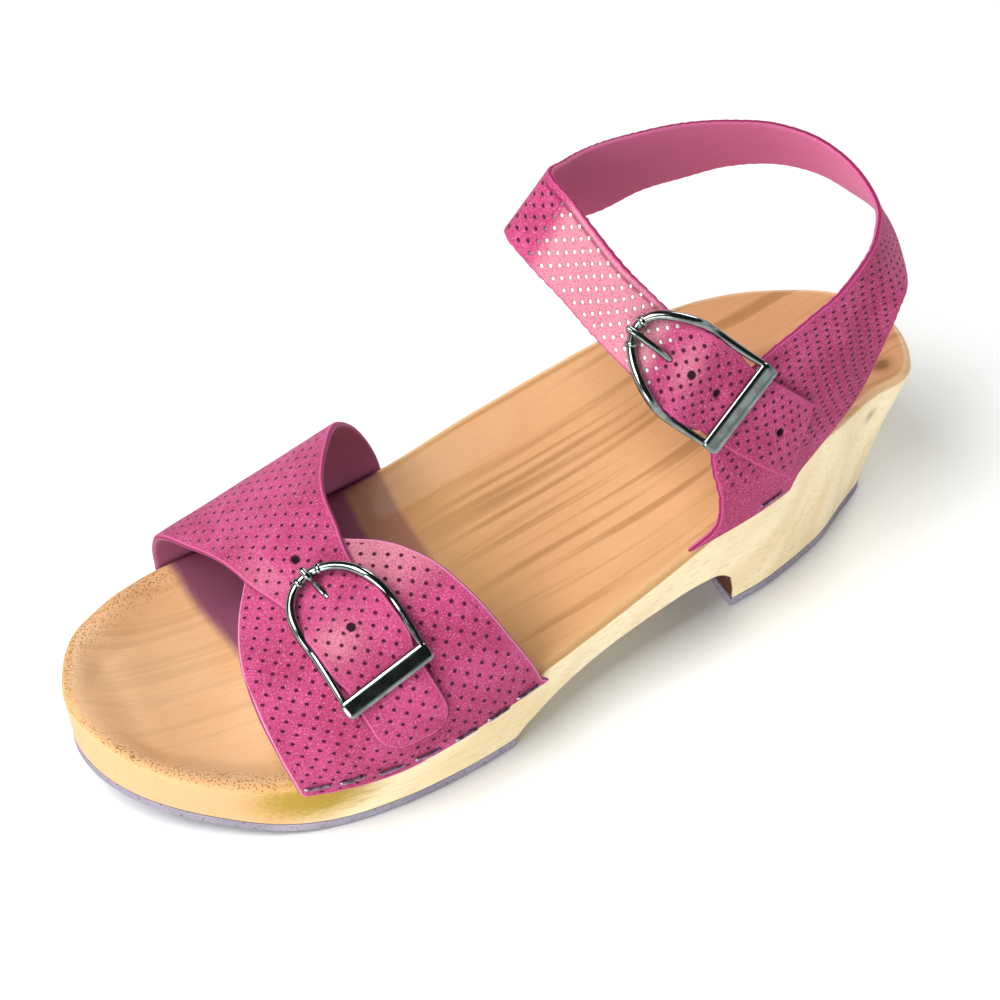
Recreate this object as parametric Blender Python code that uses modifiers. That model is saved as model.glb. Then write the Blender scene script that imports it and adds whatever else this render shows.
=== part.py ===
"""Wooden sole sandal with a high block heel, left shoe, at its real size.

A carved wooden sole carries a crossed suede vamp, stapled to both of its sides, and one long suede
ankle strap that starts as a quarter stapled beside the heel. Each strap is held by a buckle.

Frame: +X runs from heel to toe, +Y is the outer side of the foot, +Z is up and the floor is z = 0.
Sizes below are millimetres, with x measured from the back of the heel; place() turns them to metres
and puts the origin on the floor under the middle of the heel.
"""

import math

import bmesh
import bpy
import numpy as np
from mathutils import Matrix, Vector

MM = 0.001
HEEL_CENTRE = 40.0

# Driving sizes
LENGTH = 248.0
LEATHER = 1.8
GAP = 0.3
RUBBER = 3.0
RIM_ROUND = 2.2
TOE_SPRING = 11.1
TOE_SPRING_START = 188.0
WOOD_UNDERSIDE = RUBBER + GAP
HEEL_BREAST = 66.0
OUTSOLE_REAR = 141.0

# The sole, a row for each section: x, half widths of the outer and inner side, height of the rim,
# how much higher the rim is on the inner side, and the depth of the footbed under the rim.
SOLE_COLUMNS = ("x", "outer", "inner", "rim", "inner_rise", "dish")
SOLE_ROWS = (
    (4, 14.1, 13.5, 51.9, 0.0, 4.0),
    (16, 19.3, 24.0, 52.0, 0.0, 5.0),
    (33, 24.5, 32.2, 51.3, 0.0, 5.0),
    (58, 31.7, 36.6, 47.2, 2.5, 4.2),
    (88, 35.9, 38.4, 36.2, 6.5, 3.0),
    (114, 39.0, 39.6, 28.1, 6.5, 2.6),
    (139, 43.5, 41.2, 24.2, 1.0, 3.8),
    (163, 47.0, 42.5, 21.8, -1.0, 4.8),
    (186, 46.7, 43.1, 20.8, -1.2, 4.8),
    (208, 42.6, 40.8, 21.2, -0.4, 4.5),
    (226.5, 33.0, 33.2, 24.0, 0.0, 4.0),
    (240, 21.3, 21.0, 28.2, 0.0, 3.4),
    (246, 11.0, 9.5, 31.0, 0.0, 3.0),
)
SOLE = dict(zip(SOLE_COLUMNS, np.array(SOLE_ROWS).T))

# How far the side wall runs in between the rim and the ground: x, inset
WALL_INSET = (
    (0, 14.0), (9, 12.2), (20, 7.2), (35, 4.0), (50, 3.6), (66, 4.4), (90, 4.0), (115, 3.0), (139, 0.4), (163, 0.4),
    (186, 0.3), (208, 1.2), (232, 2.0), (248, 1.6),
)

# The hollow under the waist, seen from the side: x, z
ARCH = (
    (66.0, -4), (66.7, 8), (68.2, 14.5), (72, 18.4), (79, 20.2), (92, 19.4), (105, 17), (118, 13.4), (130, 9.4),
    (137.5, 6.0), (141, 3.0), (141.5, -4),
)

# The vamp's arch over the foot
VAMP_RISE = ((138, 48), (150, 45.5), (160, 42.4), (175, 36), (190, 28.5), (207, 20.8))
VAMP_LEAN = -6.0
VAMP_POWER = 2.2
STAPLED = 8
PANEL_BOTTOM = ((129, 22.5), (142, 21.6), (152, 20.4), (164, 18.8), (176, 16.9), (187, 17.0), (198, 18.4), (205, 19.4))
STRAP_BOTTOM = 8.0

# Edges of the vamp's pieces, a row for each place round the foot: degrees from the outer rim (0) over
# the instep (90) to the inner rim (180), then x of the rear and the front edge. The stapled lower edges
# lie STAPLED steps past the rims.
PANEL_EDGES = (
    (-8, 131.5, 203.5), (0, 134, 204.8), (22, 141.8, 207.3), (42, 148.2, 208.2), (61, 155.5, 206.6),
    (73, 162.6, 203.6), (82, 170.3, 199.7), (92, 178, 193),
)
STRAP_EDGES = (
    (8, 161.8, 182.2), (32, 166, 185.3), (55, 168.9, 186.9), (70, 170.6, 189.4), (77, 170.3, 191.4), (84, 169.2, 193.6),
    (93, 167.8, 195.6), (108, 163.4, 199), (118, 159.3, 201.2), (129, 154.8, 202.8), (145, 149, 204),
    (160, 143, 204), (180, 137, 204), (188, 135.5, 203.5),
)
STRAP_TIP = 10.0
# Height of the strap's inner face over the instep: it lies on the panel, humps over the buckle's bar
# and comes down to the foot behind the panel's end. Columns: degrees, height.
STRAP_LIFT = (
    (0, 2.6), (30, 2.6), (36, 2.6), (42, 2.9), (48, 4.3), (55, 5.7), (61, 4.4), (67, 2.8), (76, 2.6), (86, 2.6),
    (96, 2.4), (110, 0.4), (118, 0.0), (130, 0.0), (188, 0.0),
)

# The ankle strap, from its loose tail through the buckle and round the ankle to the stapled quarter.
# Columns: middle of the strap x, y, z; the vector across it from lower to upper edge x, y, z;
# how closely it follows the outer side of the shoe (1) or hangs free (0); and its clearance there.
LOOP_ROWS = (
    (50.3, 31.6, 61.4, -10.5, 1.5, 18.0, 1.0, 3.8),
    (65.3, 28.0, 77.0, -17.1, -2.7, 11.8, 1.0, 3.8),
    (77.7, 17.9, 89.6, -15.1, -1.2, 11.9, 1.0, 3.8),
    (84.6, 8.3, 96.6, -13.2, -2.6, 13.0, 0.8, 3.8),
    (89.8, 0.3, 102.8, -10.0, -0.8, 19.0, 0.0, 0.0),
    (94.3, -10.3, 110.5, -10.7, -2.0, 18.6, 0.0, 0.0),
    (97.5, -19.0, 115.9, -12.4, -0.9, 18.1, 0.0, 0.0),
    (99.1, -27.7, 118.6, -11.9, 2.6, 18.3, 0.0, 0.0),
    (88.0, -34.5, 111.9, -6.6, 0.5, 21.3, 0.0, 0.0),
    (71.8, -39.4, 106.0, -0.6, -0.6, 23.8, 0.0, 0.0),
    (57.5, -42.5, 102.7, 2.0, 2.3, 23.7, 0.0, 0.0),
    (44.6, -43.6, 99.6, 2.8, 3.3, 23.5, 0.0, 0.0),
    (29.6, -42.6, 96.6, 4.0, 4.7, 21.7, 0.0, 0.0),
    (15.8, -38.2, 93.5, 5.4, 5.2, 20.8, 0.0, 0.0),
    (7.8, -31.3, 91.2, 5.7, 6.5, 20.4, 0.0, 0.0),
    (3.2, -21.7, 88.9, 6.4, 9.1, 19.4, 0.0, 0.0),
    (2.2, -10.6, 87.5, 9.2, 11.6, 16.6, 0.0, 0.0),
    (5.4, -1.2, 86.8, 12.1, 8.0, 16.8, 0.0, 0.0),
    (11.0, 7.0, 85.8, 15.2, 4.8, 16.2, 0.3, 1.2),
    (19.0, 13.8, 84.4, 19.4, 2.0, 12.6, 0.8, 1.2),
    (29.5, 18.1, 80.4, 29.6, 0.5, 16.6, 1.0, 1.2),
    (37.4, 19.9, 77.2, 37.0, 0.6, 20.0, 1.0, 1.2),
    (46.2, 23.3, 71.6, 44.6, 1.6, 19.0, 1.0, 1.2),
    (52.8, 26.6, 65.3, 46.0, 3.8, 14.2, 1.0, 1.2),
    (56.9, 29.3, 59.3, 40.3, 4.8, 10.2, 1.0, 1.2),
    (60.0, 31.9, 51.9, 32.0, 5.5, 2.4, 1.0, 1.2),
    (63.4, 33.2, 46.8, 28.4, 5.1, -2.6, 1.0, 1.2),
    (69.2, 34.0, 42.2, 33.7, 5.6, -1.2, 1.0, 1.2),
)
QUARTER_LEAN = 1 / 140

# Staples: x and place round the foot of each crown on the vamp; how far up the quarter's width its own is
STAPLES = (
    (200, 1.5), (191, 0.5), (180.6, -1), (170.3, -1.5), (158.4, -3), (148.3, -4), (138.9, -2),
)
QUARTER_STAPLE = -0.4
STAPLE_LENGTH = 7.0
STAPLE_RADIUS = 0.45

# Buckles
WIRE = 1.3
FRAME_HALF_WIDTH = 12.5
FRAME_LENGTH = 33.5
PLATE = (27.2, 5.4, 2.2)
BAR_RADIUS = 1.4
BAR_PLACE = 16.0
PRONG_RADIUS = 1.0
HOLE_RADIUS = 1.2


def through(rows, at):
    """Smooth curve through a table's rows: cubic pieces whose slope at each row is its neighbours' mean slope."""
    rows = np.asarray(rows, float)
    knots, values = rows[:, 0], rows[:, 1:]
    slopes = np.gradient(values, knots, axis=0)
    at = np.clip(np.asarray(at, float), knots[0], knots[-1])
    cell = np.clip(np.searchsorted(knots, at) - 1, 0, len(knots) - 2)
    step = (knots[cell + 1] - knots[cell])[..., None]
    t = (at[..., None] - knots[cell][..., None]) / step
    return (
        (2 * t**3 - 3 * t**2 + 1) * values[cell]
        + (t**3 - 2 * t**2 + t) * step * slopes[cell]
        + (3 * t**2 - 2 * t**3) * values[cell + 1]
        + (t**3 - t**2) * step * slopes[cell + 1]
    )


def column(name, x):
    """One column of the sole's table at any x."""
    return through(np.column_stack([SOLE["x"], SOLE[name]]), x)[..., 0]


def roundness(x):
    """Width of an ellipse of the sole's length: 0 at its two ends and 1 in the middle."""
    x = np.clip(x, 0.0, LENGTH)
    return 2 * np.sqrt(x * (LENGTH - x)) / LENGTH


def half_width(side, x):
    """The plan outline: the ellipse of the sole's length times the table's fullness at x."""
    fullness = SOLE[side] / roundness(SOLE["x"])
    return through(np.column_stack([SOLE["x"], fullness]), x)[..., 0] * roundness(x)


def rim_height(side, x):
    return column("rim", x) + (column("inner_rise", x) if side == "inner" else 0.0)


def toe_spring(x):
    """Height of the rubber's underside over the floor: flat to the ball, then curving up to the toe."""
    forward = np.maximum(0.0, x - TOE_SPRING_START) / (LENGTH - TOE_SPRING_START)
    return TOE_SPRING * forward**1.7


def wood_underside(x):
    return WOOD_UNDERSIDE + toe_spring(x)


def wall_inset(x):
    return through(WALL_INSET, x)[..., 0]


def outline(side, turn, inset):
    """The outline's point at an angle along the sole (0 heel, pi toe), moved in by inset along its normal."""

    def edge(angle):
        x = LENGTH / 2 * (1 - np.cos(angle))
        sign = 1 if side == "outer" else -1
        return np.stack([x, sign * half_width(side, x)], -1)

    small = 1e-3
    ahead, behind = np.clip(turn + small, 0, math.pi), np.clip(turn - small, 0, math.pi)
    along = edge(ahead) - edge(behind)
    sign = 1 if side == "outer" else -1
    outward = np.stack([-along[..., 1] * sign, along[..., 0] * sign], -1)
    outward /= np.linalg.norm(outward, axis=-1, keepdims=True)
    lengthwise = np.stack([-np.cos(turn), 0 * turn], -1)
    outward = np.where((np.sin(turn) < 1e-6)[..., None], lengthwise, outward)
    return edge(turn) - outward * np.asarray(inset)[..., None]


def wall_share(side, x, z):
    """How far down the side wall a height is: 0 where the rim's rounding ends and 1 at the underside."""
    high = rim_height(side, x) - RIM_ROUND
    return np.clip((high - z) / (high - wood_underside(x)), 0, 1)


def outer_wall(x, z):
    """y of the outer side at x and z: the carved wall up to the rim, and over it a foot's lean inwards."""
    lean = QUARTER_LEAN * np.maximum(0.0, z - rim_height("outer", x)) ** 2
    return half_width("outer", x) - wall_inset(x) * wall_share("outer", x, z) - lean


def step_up(t):
    """Smooth step from 0 at t = 0 to 1 at t = 1."""
    t = np.clip(t, 0, 1)
    return t * t * (3 - 2 * t)


def place(points):
    """Millimetres from the heel's back to metres from the origin."""
    return (np.asarray(points, float) - (HEEL_CENTRE, 0, 0)) * MM


def material(name, colour, roughness, metallic=0.0):
    made = bpy.data.materials.new(name)
    made.use_nodes = True
    shader = made.node_tree.nodes["Principled BSDF"]
    shader.inputs["Base Color"].default_value = (*colour, 1.0)
    shader.inputs["Roughness"].default_value = roughness
    shader.inputs["Metallic"].default_value = metallic
    made.diffuse_color = (*colour, 1.0)
    return made


def collection(name):
    made = bpy.data.collections.new(name)
    bpy.context.scene.collection.children.link(made)
    return made


def add_object(name, mesh, group, finish=None):
    obj = bpy.data.objects.new(name, mesh)
    group.objects.link(obj)
    if finish:
        mesh.materials.append(finish)
    return obj


def mesh_of(name, points, faces):
    """A mesh from millimetre points, with doubles merged and its faces turned outwards."""
    mesh = bpy.data.meshes.new(name)
    mesh.from_pydata(place(points).tolist(), [], faces)
    work = bmesh.new()
    work.from_mesh(mesh)
    bmesh.ops.remove_doubles(work, verts=work.verts, dist=1e-6)
    bmesh.ops.dissolve_degenerate(work, edges=work.edges, dist=1e-7)
    bmesh.ops.recalc_face_normals(work, faces=work.faces)
    work.to_mesh(mesh)
    work.free()
    mesh.shade_smooth()
    mesh.set_sharp_from_angle(angle=math.radians(40))
    return mesh


def grid_faces(rows, columns, wrap=False):
    """Quads of a grid of points; wrap joins the last column to the first."""
    wide = columns if wrap else columns - 1
    return [
        (r * columns + c, r * columns + (c + 1) % columns, (r + 1) * columns + (c + 1) % columns, (r + 1) * columns + c)
        for r in range(rows - 1)
        for c in range(wide)
    ]


def sections_solid(name, loops):
    """Closed solid through closed sections of equal point counts; an end section with any width is capped."""
    rows, columns = loops.shape[:2]
    faces = grid_faces(rows, columns, wrap=True)
    for row in (0, rows - 1):
        if np.ptp(loops[row, :, 1]) > 0.01:
            faces.append(tuple(row * columns + c for c in range(columns)))
    return mesh_of(name, loops.reshape(-1, 3), faces)


def sole_loops(turns):
    """Cross sections of the wood: footbed, rounded rims, side walls and flat underside."""
    turn = turns[:, None]
    across = np.linspace(0, 1, 13)[None, :]
    inner_top, outer_top = (outline(side, turns, np.full(len(turns), RIM_ROUND))[:, None] for side in ("inner", "outer"))
    plan = inner_top + (outer_top - inner_top) * across[..., None]
    x = plan[..., 0]
    rim = rim_height("inner", x) * (1 - across) + rim_height("outer", x) * across
    width = np.linalg.norm(outer_top - inner_top, axis=-1)
    to_side = np.minimum(across, 1 - across) * width
    to_end = np.minimum(x, LENGTH - x) - RIM_ROUND
    dish = column("dish", x) * step_up(to_side / 13) * step_up(to_end / 15)
    loops = [np.dstack([plan, rim - dish])]
    for side in ("outer", "inner"):
        down = []
        for angle in (60, 30, 0):
            inset = RIM_ROUND * (1 - math.cos(math.radians(angle)))
            edge = outline(side, turn, np.full_like(turn, inset))
            drop = RIM_ROUND * (1 - math.sin(math.radians(angle)))
            down.append(np.dstack([edge, rim_height(side, edge[..., 0]) - drop]))
        for share in (0.25, 0.5, 0.75, 1.0):
            top = outline(side, turn, np.zeros_like(turn))
            edge = outline(side, turn, wall_inset(top[..., 0]) * share)
            high = rim_height(side, top[..., 0]) - RIM_ROUND
            low = wood_underside(edge[..., 0])
            down.append(np.dstack([edge, high + (low - high) * share]))
        down = np.concatenate(down, axis=1)
        loops.append(down if side == "outer" else down[:, ::-1])
    between = np.linspace(0, 1, 6)[None, 1:-1, None]
    outer_low, inner_low = loops[1][:, -1:], loops[2][:, :1]
    underside = outer_low + (inner_low - outer_low) * between
    underside[..., 2] = wood_underside(underside[..., 0])
    return np.concatenate([loops[0], loops[1], underside, loops[2]], axis=1)


def side_cutter(name, profile, group):
    """Prism across the whole sole from a side view's outline, for cutting."""
    curve = bpy.data.curves.new(name, "CURVE")
    curve.dimensions = "2D"
    curve.fill_mode = "BOTH"
    curve.extrude = 80 * MM
    line = curve.splines.new("POLY")
    line.points.add(len(profile) - 1)
    for point, (x, z) in zip(line.points, profile):
        point.co = ((x - HEEL_CENTRE) * MM, z * MM, 0, 1)
    line.use_cyclic_u = True
    shape = bpy.data.objects.new(name + "_outline", curve)
    group.objects.link(shape)
    shape.rotation_euler = (math.pi / 2, 0, 0)
    return solid_from_curve(shape, name, group)


def solid_from_curve(shape, name, group):
    """The curve's closed mesh in world space, its caps welded; the curve is removed."""
    bpy.context.view_layer.update()
    graph = bpy.context.evaluated_depsgraph_get()
    mesh = bpy.data.meshes.new_from_object(shape.evaluated_get(graph))
    mesh.transform(shape.matrix_world)
    work = bmesh.new()
    work.from_mesh(mesh)
    bmesh.ops.remove_doubles(work, verts=work.verts, dist=1e-6)
    bmesh.ops.recalc_face_normals(work, faces=work.faces)
    work.to_mesh(mesh)
    work.free()
    bpy.data.objects.remove(shape)
    mesh.name = name
    made = bpy.data.objects.new(name, mesh)
    group.objects.link(made)
    return made


def hide_tool(obj):
    obj.hide_render = True
    obj.display_type = "WIRE"
    return obj


def boolean(obj, tool, operation):
    change = obj.modifiers.new(tool.name, "BOOLEAN")
    change.operation = operation
    change.object = hide_tool(tool)


def make_sole(group, tools, finish):
    turns = np.linspace(0, math.pi, 53)
    sole = add_object("wooden_sole", sections_solid("wooden_sole", sole_loops(turns)), group, finish)
    boolean(sole, side_cutter("arch_cutter", ARCH, tools), "DIFFERENCE")


def make_tread(name, x_range, group, finish):
    """A flat rubber piece under the wood, flush with its foot outline."""
    low, high = (math.acos(1 - 2 * x / LENGTH) for x in x_range)
    turns = np.linspace(low, high, 25)
    edges = []
    for side in ("outer", "inner"):
        x = LENGTH / 2 * (1 - np.cos(turns))
        edges.append(outline(side, turns, wall_inset(x)))
    share = np.linspace(0, 1, 5)[None, :, None]
    plan = edges[0][:, None] + (edges[1] - edges[0])[:, None] * share
    ground = toe_spring(plan[..., 0])
    under = np.dstack([plan, ground])
    over = np.dstack([plan, ground + RUBBER])
    loops = np.concatenate([over, under[:, ::-1]], axis=1)
    add_object(name, sections_solid(name, loops), group, finish)


def instep(x, degrees):
    """Inner face of the vamp: a skewed superellipse arch that stands on the two rims.

    y follows the cosine and z the sine of the angle, each to the power 2 / VAMP_POWER. Below a rim it
    follows the wooden wall down to its stapled edge.
    """
    outer, inner = half_width("outer", x), half_width("inner", x)
    angle = np.radians(np.clip(degrees, 0, 180))
    power = 2 / VAMP_POWER
    rise = through(VAMP_RISE, x)[..., 0]
    outer_rim, inner_rim = rim_height("outer", x), rim_height("inner", x)
    rim = outer_rim + (inner_rim - outer_rim) * (1 - np.cos(angle)) / 2
    y = (outer - inner) / 2 + ((outer + inner) / 2 + GAP) * np.sign(np.cos(angle)) * np.abs(np.cos(angle)) ** power
    y = y + VAMP_LEAN * np.sin(angle)
    z = rim + rise * np.sin(angle) ** power
    bottom = through(PANEL_BOTTOM, x)[..., 0]
    below = np.clip(-degrees / STAPLED, 0, 1) * (rim - bottom) + np.clip((degrees - 180) / STAPLED, 0, 1) * STRAP_BOTTOM
    z = z - below
    y = y - wall_inset(x) * wall_share("outer", x, z) * (degrees < 0)
    y = y + wall_inset(x) * wall_share("inner", x, z) * (degrees > 180)
    return np.stack([x + 0 * y, y, z], -1)


def vamp(x, degrees, height):
    """The vamp's inner face moved outwards by a height along its normal."""
    x, degrees, height = np.broadcast_arrays(*(np.asarray(value, float) for value in (x, degrees, height)))
    down_slope = instep(x, degrees + 0.4) - instep(x, degrees - 0.4)
    forward = instep(x + 0.4, degrees) - instep(x - 0.4, degrees)
    normal = np.cross(down_slope, forward)
    normal /= np.linalg.norm(normal, axis=-1, keepdims=True)
    return instep(x, degrees) + normal * height[..., None]


def sheet(name, points, group, finish):
    """A leather sheet: the grid is its inner face, and Solidify gives it its thickness outwards."""
    rows, columns = points.shape[:2]
    mesh = bpy.data.meshes.new(name)
    mesh.from_pydata(place(points.reshape(-1, 3)).tolist(), [], grid_faces(rows, columns))
    mesh.shade_smooth()
    mesh.set_sharp_from_angle(angle=math.radians(40))
    obj = add_object(name, mesh, group, finish)
    wall = obj.modifiers.new("leather", "SOLIDIFY")
    wall.thickness = LEATHER * MM
    wall.offset = 1.0
    return obj


def strap_middle(degrees):
    edges = through(STRAP_EDGES, degrees)
    return edges.mean(axis=-1)


def make_vamp(group, finish):
    places = np.concatenate([np.linspace(-STAPLED, 0, 4)[:-1], np.linspace(0, 92, 17)])
    edges = through(PANEL_EDGES, places)
    across = np.linspace(0, 1, 11)[None, :]
    x = edges[:, :1] + (edges[:, 1:] - edges[:, :1]) * across
    panel = sheet("vamp_panel", vamp(x, places[:, None], 0.0)[:, ::-1], group, finish)

    first = STRAP_EDGES[0][0]
    tip = first + STRAP_TIP * (1 - np.cos(np.linspace(0, math.pi / 2, 6)))
    places = np.concatenate([tip, np.linspace(first + STRAP_TIP, 180, 34)[1:], (184, 180 + STAPLED)])
    edges = through(STRAP_EDGES, places)
    middle = edges.mean(axis=1, keepdims=True)
    narrow = np.clip((places - first) / STRAP_TIP, 0, 1)
    narrow = 0.3 + 0.7 * np.sqrt(1 - (1 - narrow) ** 2)
    half = (edges[:, 1:] - edges[:, :1]) / 2 * narrow[:, None]
    x = middle + half * np.linspace(-1, 1, 7)[None, :]
    lift = through(STRAP_LIFT, places)
    strap = sheet("vamp_strap", vamp(x, places[:, None], lift)[:, ::-1], group, finish)
    return panel, strap


LOOP = np.array(LOOP_ROWS)
LOOP_AT = np.concatenate([[0.0], np.cumsum(np.linalg.norm(np.diff(LOOP[:, :3], axis=0), axis=1))])
TAIL_LENGTH = LOOP_AT[5]
BUCKLE_AT = LOOP_AT[1] + 5.0
HUMP_HEIGHT = 1.7
HUMP_LENGTH = 6.0


def ankle(along, across, height):
    """The ankle strap's middle face: along it in mm, across it in half widths, and a height on its normal."""

    def face(s, b):
        row = through(np.column_stack([LOOP_AT, LOOP]), s)
        point = row[..., 0:3] + row[..., 3:6] / 2 * b[..., None]
        hug = np.clip(row[..., 6], 0, 1)
        side = outer_wall(point[..., 0], point[..., 2]) + row[..., 7]
        point[..., 1] = point[..., 1] * (1 - hug) + side * hug
        return point

    along, across, height = np.broadcast_arrays(*(np.asarray(value, float) for value in (along, across, height)))
    step = 0.5
    forward = face(along + step, across) - face(along - step, across)
    upward = face(along, across + 0.05) - face(along, across - 0.05)
    normal = np.cross(forward, upward)
    normal /= np.linalg.norm(normal, axis=-1, keepdims=True)
    return face(along, across) - normal * height[..., None]


def hump(along, bar_at):
    """Height of a strap over its buckle's bar: a bell of HUMP_LENGTH."""
    return HUMP_HEIGHT * np.exp(-(((along - bar_at) / HUMP_LENGTH) ** 2))


def make_ankle_strap(group, finish):
    length = LOOP_AT[-1]
    along = np.concatenate([np.linspace(0, TAIL_LENGTH, 22), np.linspace(TAIL_LENGTH, length, 56)[1:]])
    bar_at = BUCKLE_AT + BAR_PLACE
    lift = hump(along, bar_at) - LEATHER / 2
    points = ankle(along[:, None], np.linspace(-1, 1, 6)[None, :], lift[:, None])
    return sheet("ankle_strap", points, group, finish)


def make_ankle_tab(group, finish):
    """Leather tab behind the strap that ties the buckle's bar to the quarter."""
    along = np.linspace(LOOP_AT[0] + 4, BUCKLE_AT + BAR_PLACE + 7, 16)
    lift = 0.5 * hump(along, BUCKLE_AT + BAR_PLACE) - 5.6
    points = ankle(along[:, None], np.linspace(-0.75, 0.75, 5)[None, :], lift[:, None])
    return sheet("ankle_buckle_tab", points, group, finish)


def vamp_carrier(along, across, height):
    """A point by its distance up from the plate's place, across the strap and over the panel."""
    along = np.asarray(along, float) + VAMP_PLATE_SKEW * np.asarray(across, float) * (1 - along / FRAME_LENGTH)
    degrees = np.linspace(-7, 179, 400)
    line = vamp(strap_middle(degrees), degrees, 4.0)
    reach = np.concatenate([[0.0], np.cumsum(np.linalg.norm(np.diff(line, axis=0), axis=1))])
    start = np.interp(VAMP_PLATE_DEGREES, degrees, reach)
    turn = np.interp(start + along, reach, degrees)
    middle = strap_middle(turn)
    stretch = np.linalg.norm(vamp(middle + 1, turn, height) - vamp(middle - 1, turn, height), axis=-1) / 2
    return vamp(middle - np.asarray(across, float) / stretch, turn, height)


def ankle_carrier(along, across, height):
    """A point by its distance up from the plate's place, across the strap and over it."""
    place_on_loop = BUCKLE_AT + np.asarray(along, float)
    edges = ankle(place_on_loop, 1.0, 0.0) - ankle(place_on_loop, -1.0, 0.0)
    half = np.linalg.norm(edges, axis=-1) / 2
    return ankle(place_on_loop, np.asarray(across, float) / half, height)


VAMP_PLATE_DEGREES = 33.6
VAMP_PLATE_SKEW = 0.14
VAMP_LEVELS = {"plate": 5.9, "bar": 4.0, "rail": 4.5, "round": 7.0}
ANKLE_LEVELS = {"plate": 2.6, "bar": -0.9, "rail": 0.7, "round": 3.1}


def wire(name, points, radius, group, sides=3):
    """Round wire along millimetre points, closed at its two ends."""
    curve = bpy.data.curves.new(name, "CURVE")
    curve.dimensions = "3D"
    curve.bevel_depth = radius * MM
    curve.bevel_resolution = sides
    curve.use_fill_caps = True
    line = curve.splines.new("POLY")
    line.points.add(len(points) - 1)
    for point, at in zip(line.points, place(points)):
        point.co = (*at, 1)
    shape = bpy.data.objects.new(name + "_line", curve)
    group.objects.link(shape)
    return solid_from_curve(shape, name, group)


def axes_at(carrier, along, height):
    """Matrix whose X runs across the strap, Y along it and Z out of it, at a place on the carrier."""
    middle = carrier(along, 0.0, height)
    across = carrier(along, 1.0, height) - carrier(along, -1.0, height)
    forward = carrier(along + 1.0, 0.0, height) - carrier(along - 1.0, 0.0, height)
    across, forward = Vector(across).normalized(), Vector(forward).normalized()
    out = across.cross(forward).normalized()
    forward = out.cross(across)
    turned = Matrix((across, forward, out)).transposed().to_4x4()
    return Matrix.Translation(Vector(place(middle))) @ turned


def make_buckle(name, carrier, levels, group, tools, finish):
    """D-shaped frame of round wire with a flat keeper plate at its straight end and a bar across its middle."""
    arc = np.radians(np.linspace(0, 180, 15))
    straight = FRAME_LENGTH - 15.0
    rails = np.array([0.0, 5.0, 10.0, 14.0])
    along = np.concatenate([rails, straight + 15.0 * np.sin(arc), rails[::-1]])
    side = np.full(len(rails), FRAME_HALF_WIDTH)
    across = np.concatenate([side, FRAME_HALF_WIDTH * np.cos(arc), -side])
    heights = (
        (0.0, levels["plate"]), (BAR_PLACE - 5, levels["rail"]), (BAR_PLACE + 1, levels["rail"]),
        (BAR_PLACE + 8, levels["round"]), (FRAME_LENGTH, levels["round"]),
    )
    frame = wire(name, carrier(along, across, through(heights, along)[..., 0]), WIRE, group)
    frame.data.materials.append(finish)

    plate_mesh = bpy.data.meshes.new(name + "_plate")
    work = bmesh.new()
    bmesh.ops.create_cube(work, size=1.0, matrix=Matrix.Diagonal((*(size * MM for size in PLATE), 1)))
    bmesh.ops.bevel(work, geom=work.edges[:], offset=0.8 * MM, segments=2, affect="EDGES", profile=0.5)
    work.to_mesh(plate_mesh)
    work.free()
    plate_mesh.transform(axes_at(carrier, 0.0, levels["plate"]))
    plate = add_object(name + "_plate", plate_mesh, tools)

    ends = np.array([-FRAME_HALF_WIDTH, FRAME_HALF_WIDTH])
    bar = wire(name + "_bar", carrier(BAR_PLACE, ends, levels["bar"]), BAR_RADIUS, tools, sides=2)
    boolean(frame, plate, "UNION")
    boolean(frame, bar, "UNION")
    return frame


def prong_line(levels):
    """The prong's side view: out from the bar under the strap, up through its hole and over the round end."""
    top = levels["round"] + WIRE + GAP + PRONG_RADIUS
    return (
        (BAR_PLACE + BAR_RADIUS + PRONG_RADIUS + GAP, levels["bar"] - 0.2),
        (BAR_PLACE + 6.5, levels["bar"] - 0.2),
        (BAR_PLACE + 10.0, levels["bar"] + 2.4),
        (FRAME_LENGTH - 3.5, top - 1.2),
        (FRAME_LENGTH - 1.0, top),
        (FRAME_LENGTH + 1.4, top + 0.1),
    )


def make_prong(name, carrier, levels, strap, group, tools, finish):
    line = np.array(prong_line(levels))
    points = carrier(line[:, 0], 0.0, line[:, 1])
    prong = wire(name, points, PRONG_RADIUS, group, sides=2)
    prong.data.materials.append(finish)
    boolean(strap, wire(name + "_hole", points, PRONG_RADIUS + 0.6, tools, sides=2), "DIFFERENCE")
    return prong


def punch_hole(strap, name, carrier, along, height, tools):
    """A round adjusting hole through a strap."""
    ends = carrier(along, 0.0, np.array([height - 3.0, height + 3.0]))
    boolean(strap, wire(name, ends, HOLE_RADIUS, tools, sides=2), "DIFFERENCE")


def make_staples(group, finish):
    """Wire staple crowns along the vamp's stapled edge, and one at the foot of the quarter."""
    reach = STAPLE_LENGTH * np.array([-0.5, -0.33, 0.33, 0.5])
    height = LEATHER + GAP + np.array([0.5, 0.8, 0.8, 0.5])
    for number, (x, degrees) in enumerate(STAPLES):
        line = vamp(x + reach, degrees, height)
        wire(f"vamp_staple_{number + 1}", line, STAPLE_RADIUS, group, sides=1).data.materials.append(finish)
    line = ankle(LOOP_AT[-1] - 4.5, QUARTER_STAPLE + reach / 15, height - LEATHER / 2)
    wire("quarter_staple", line, STAPLE_RADIUS, group, sides=1).data.materials.append(finish)


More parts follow.
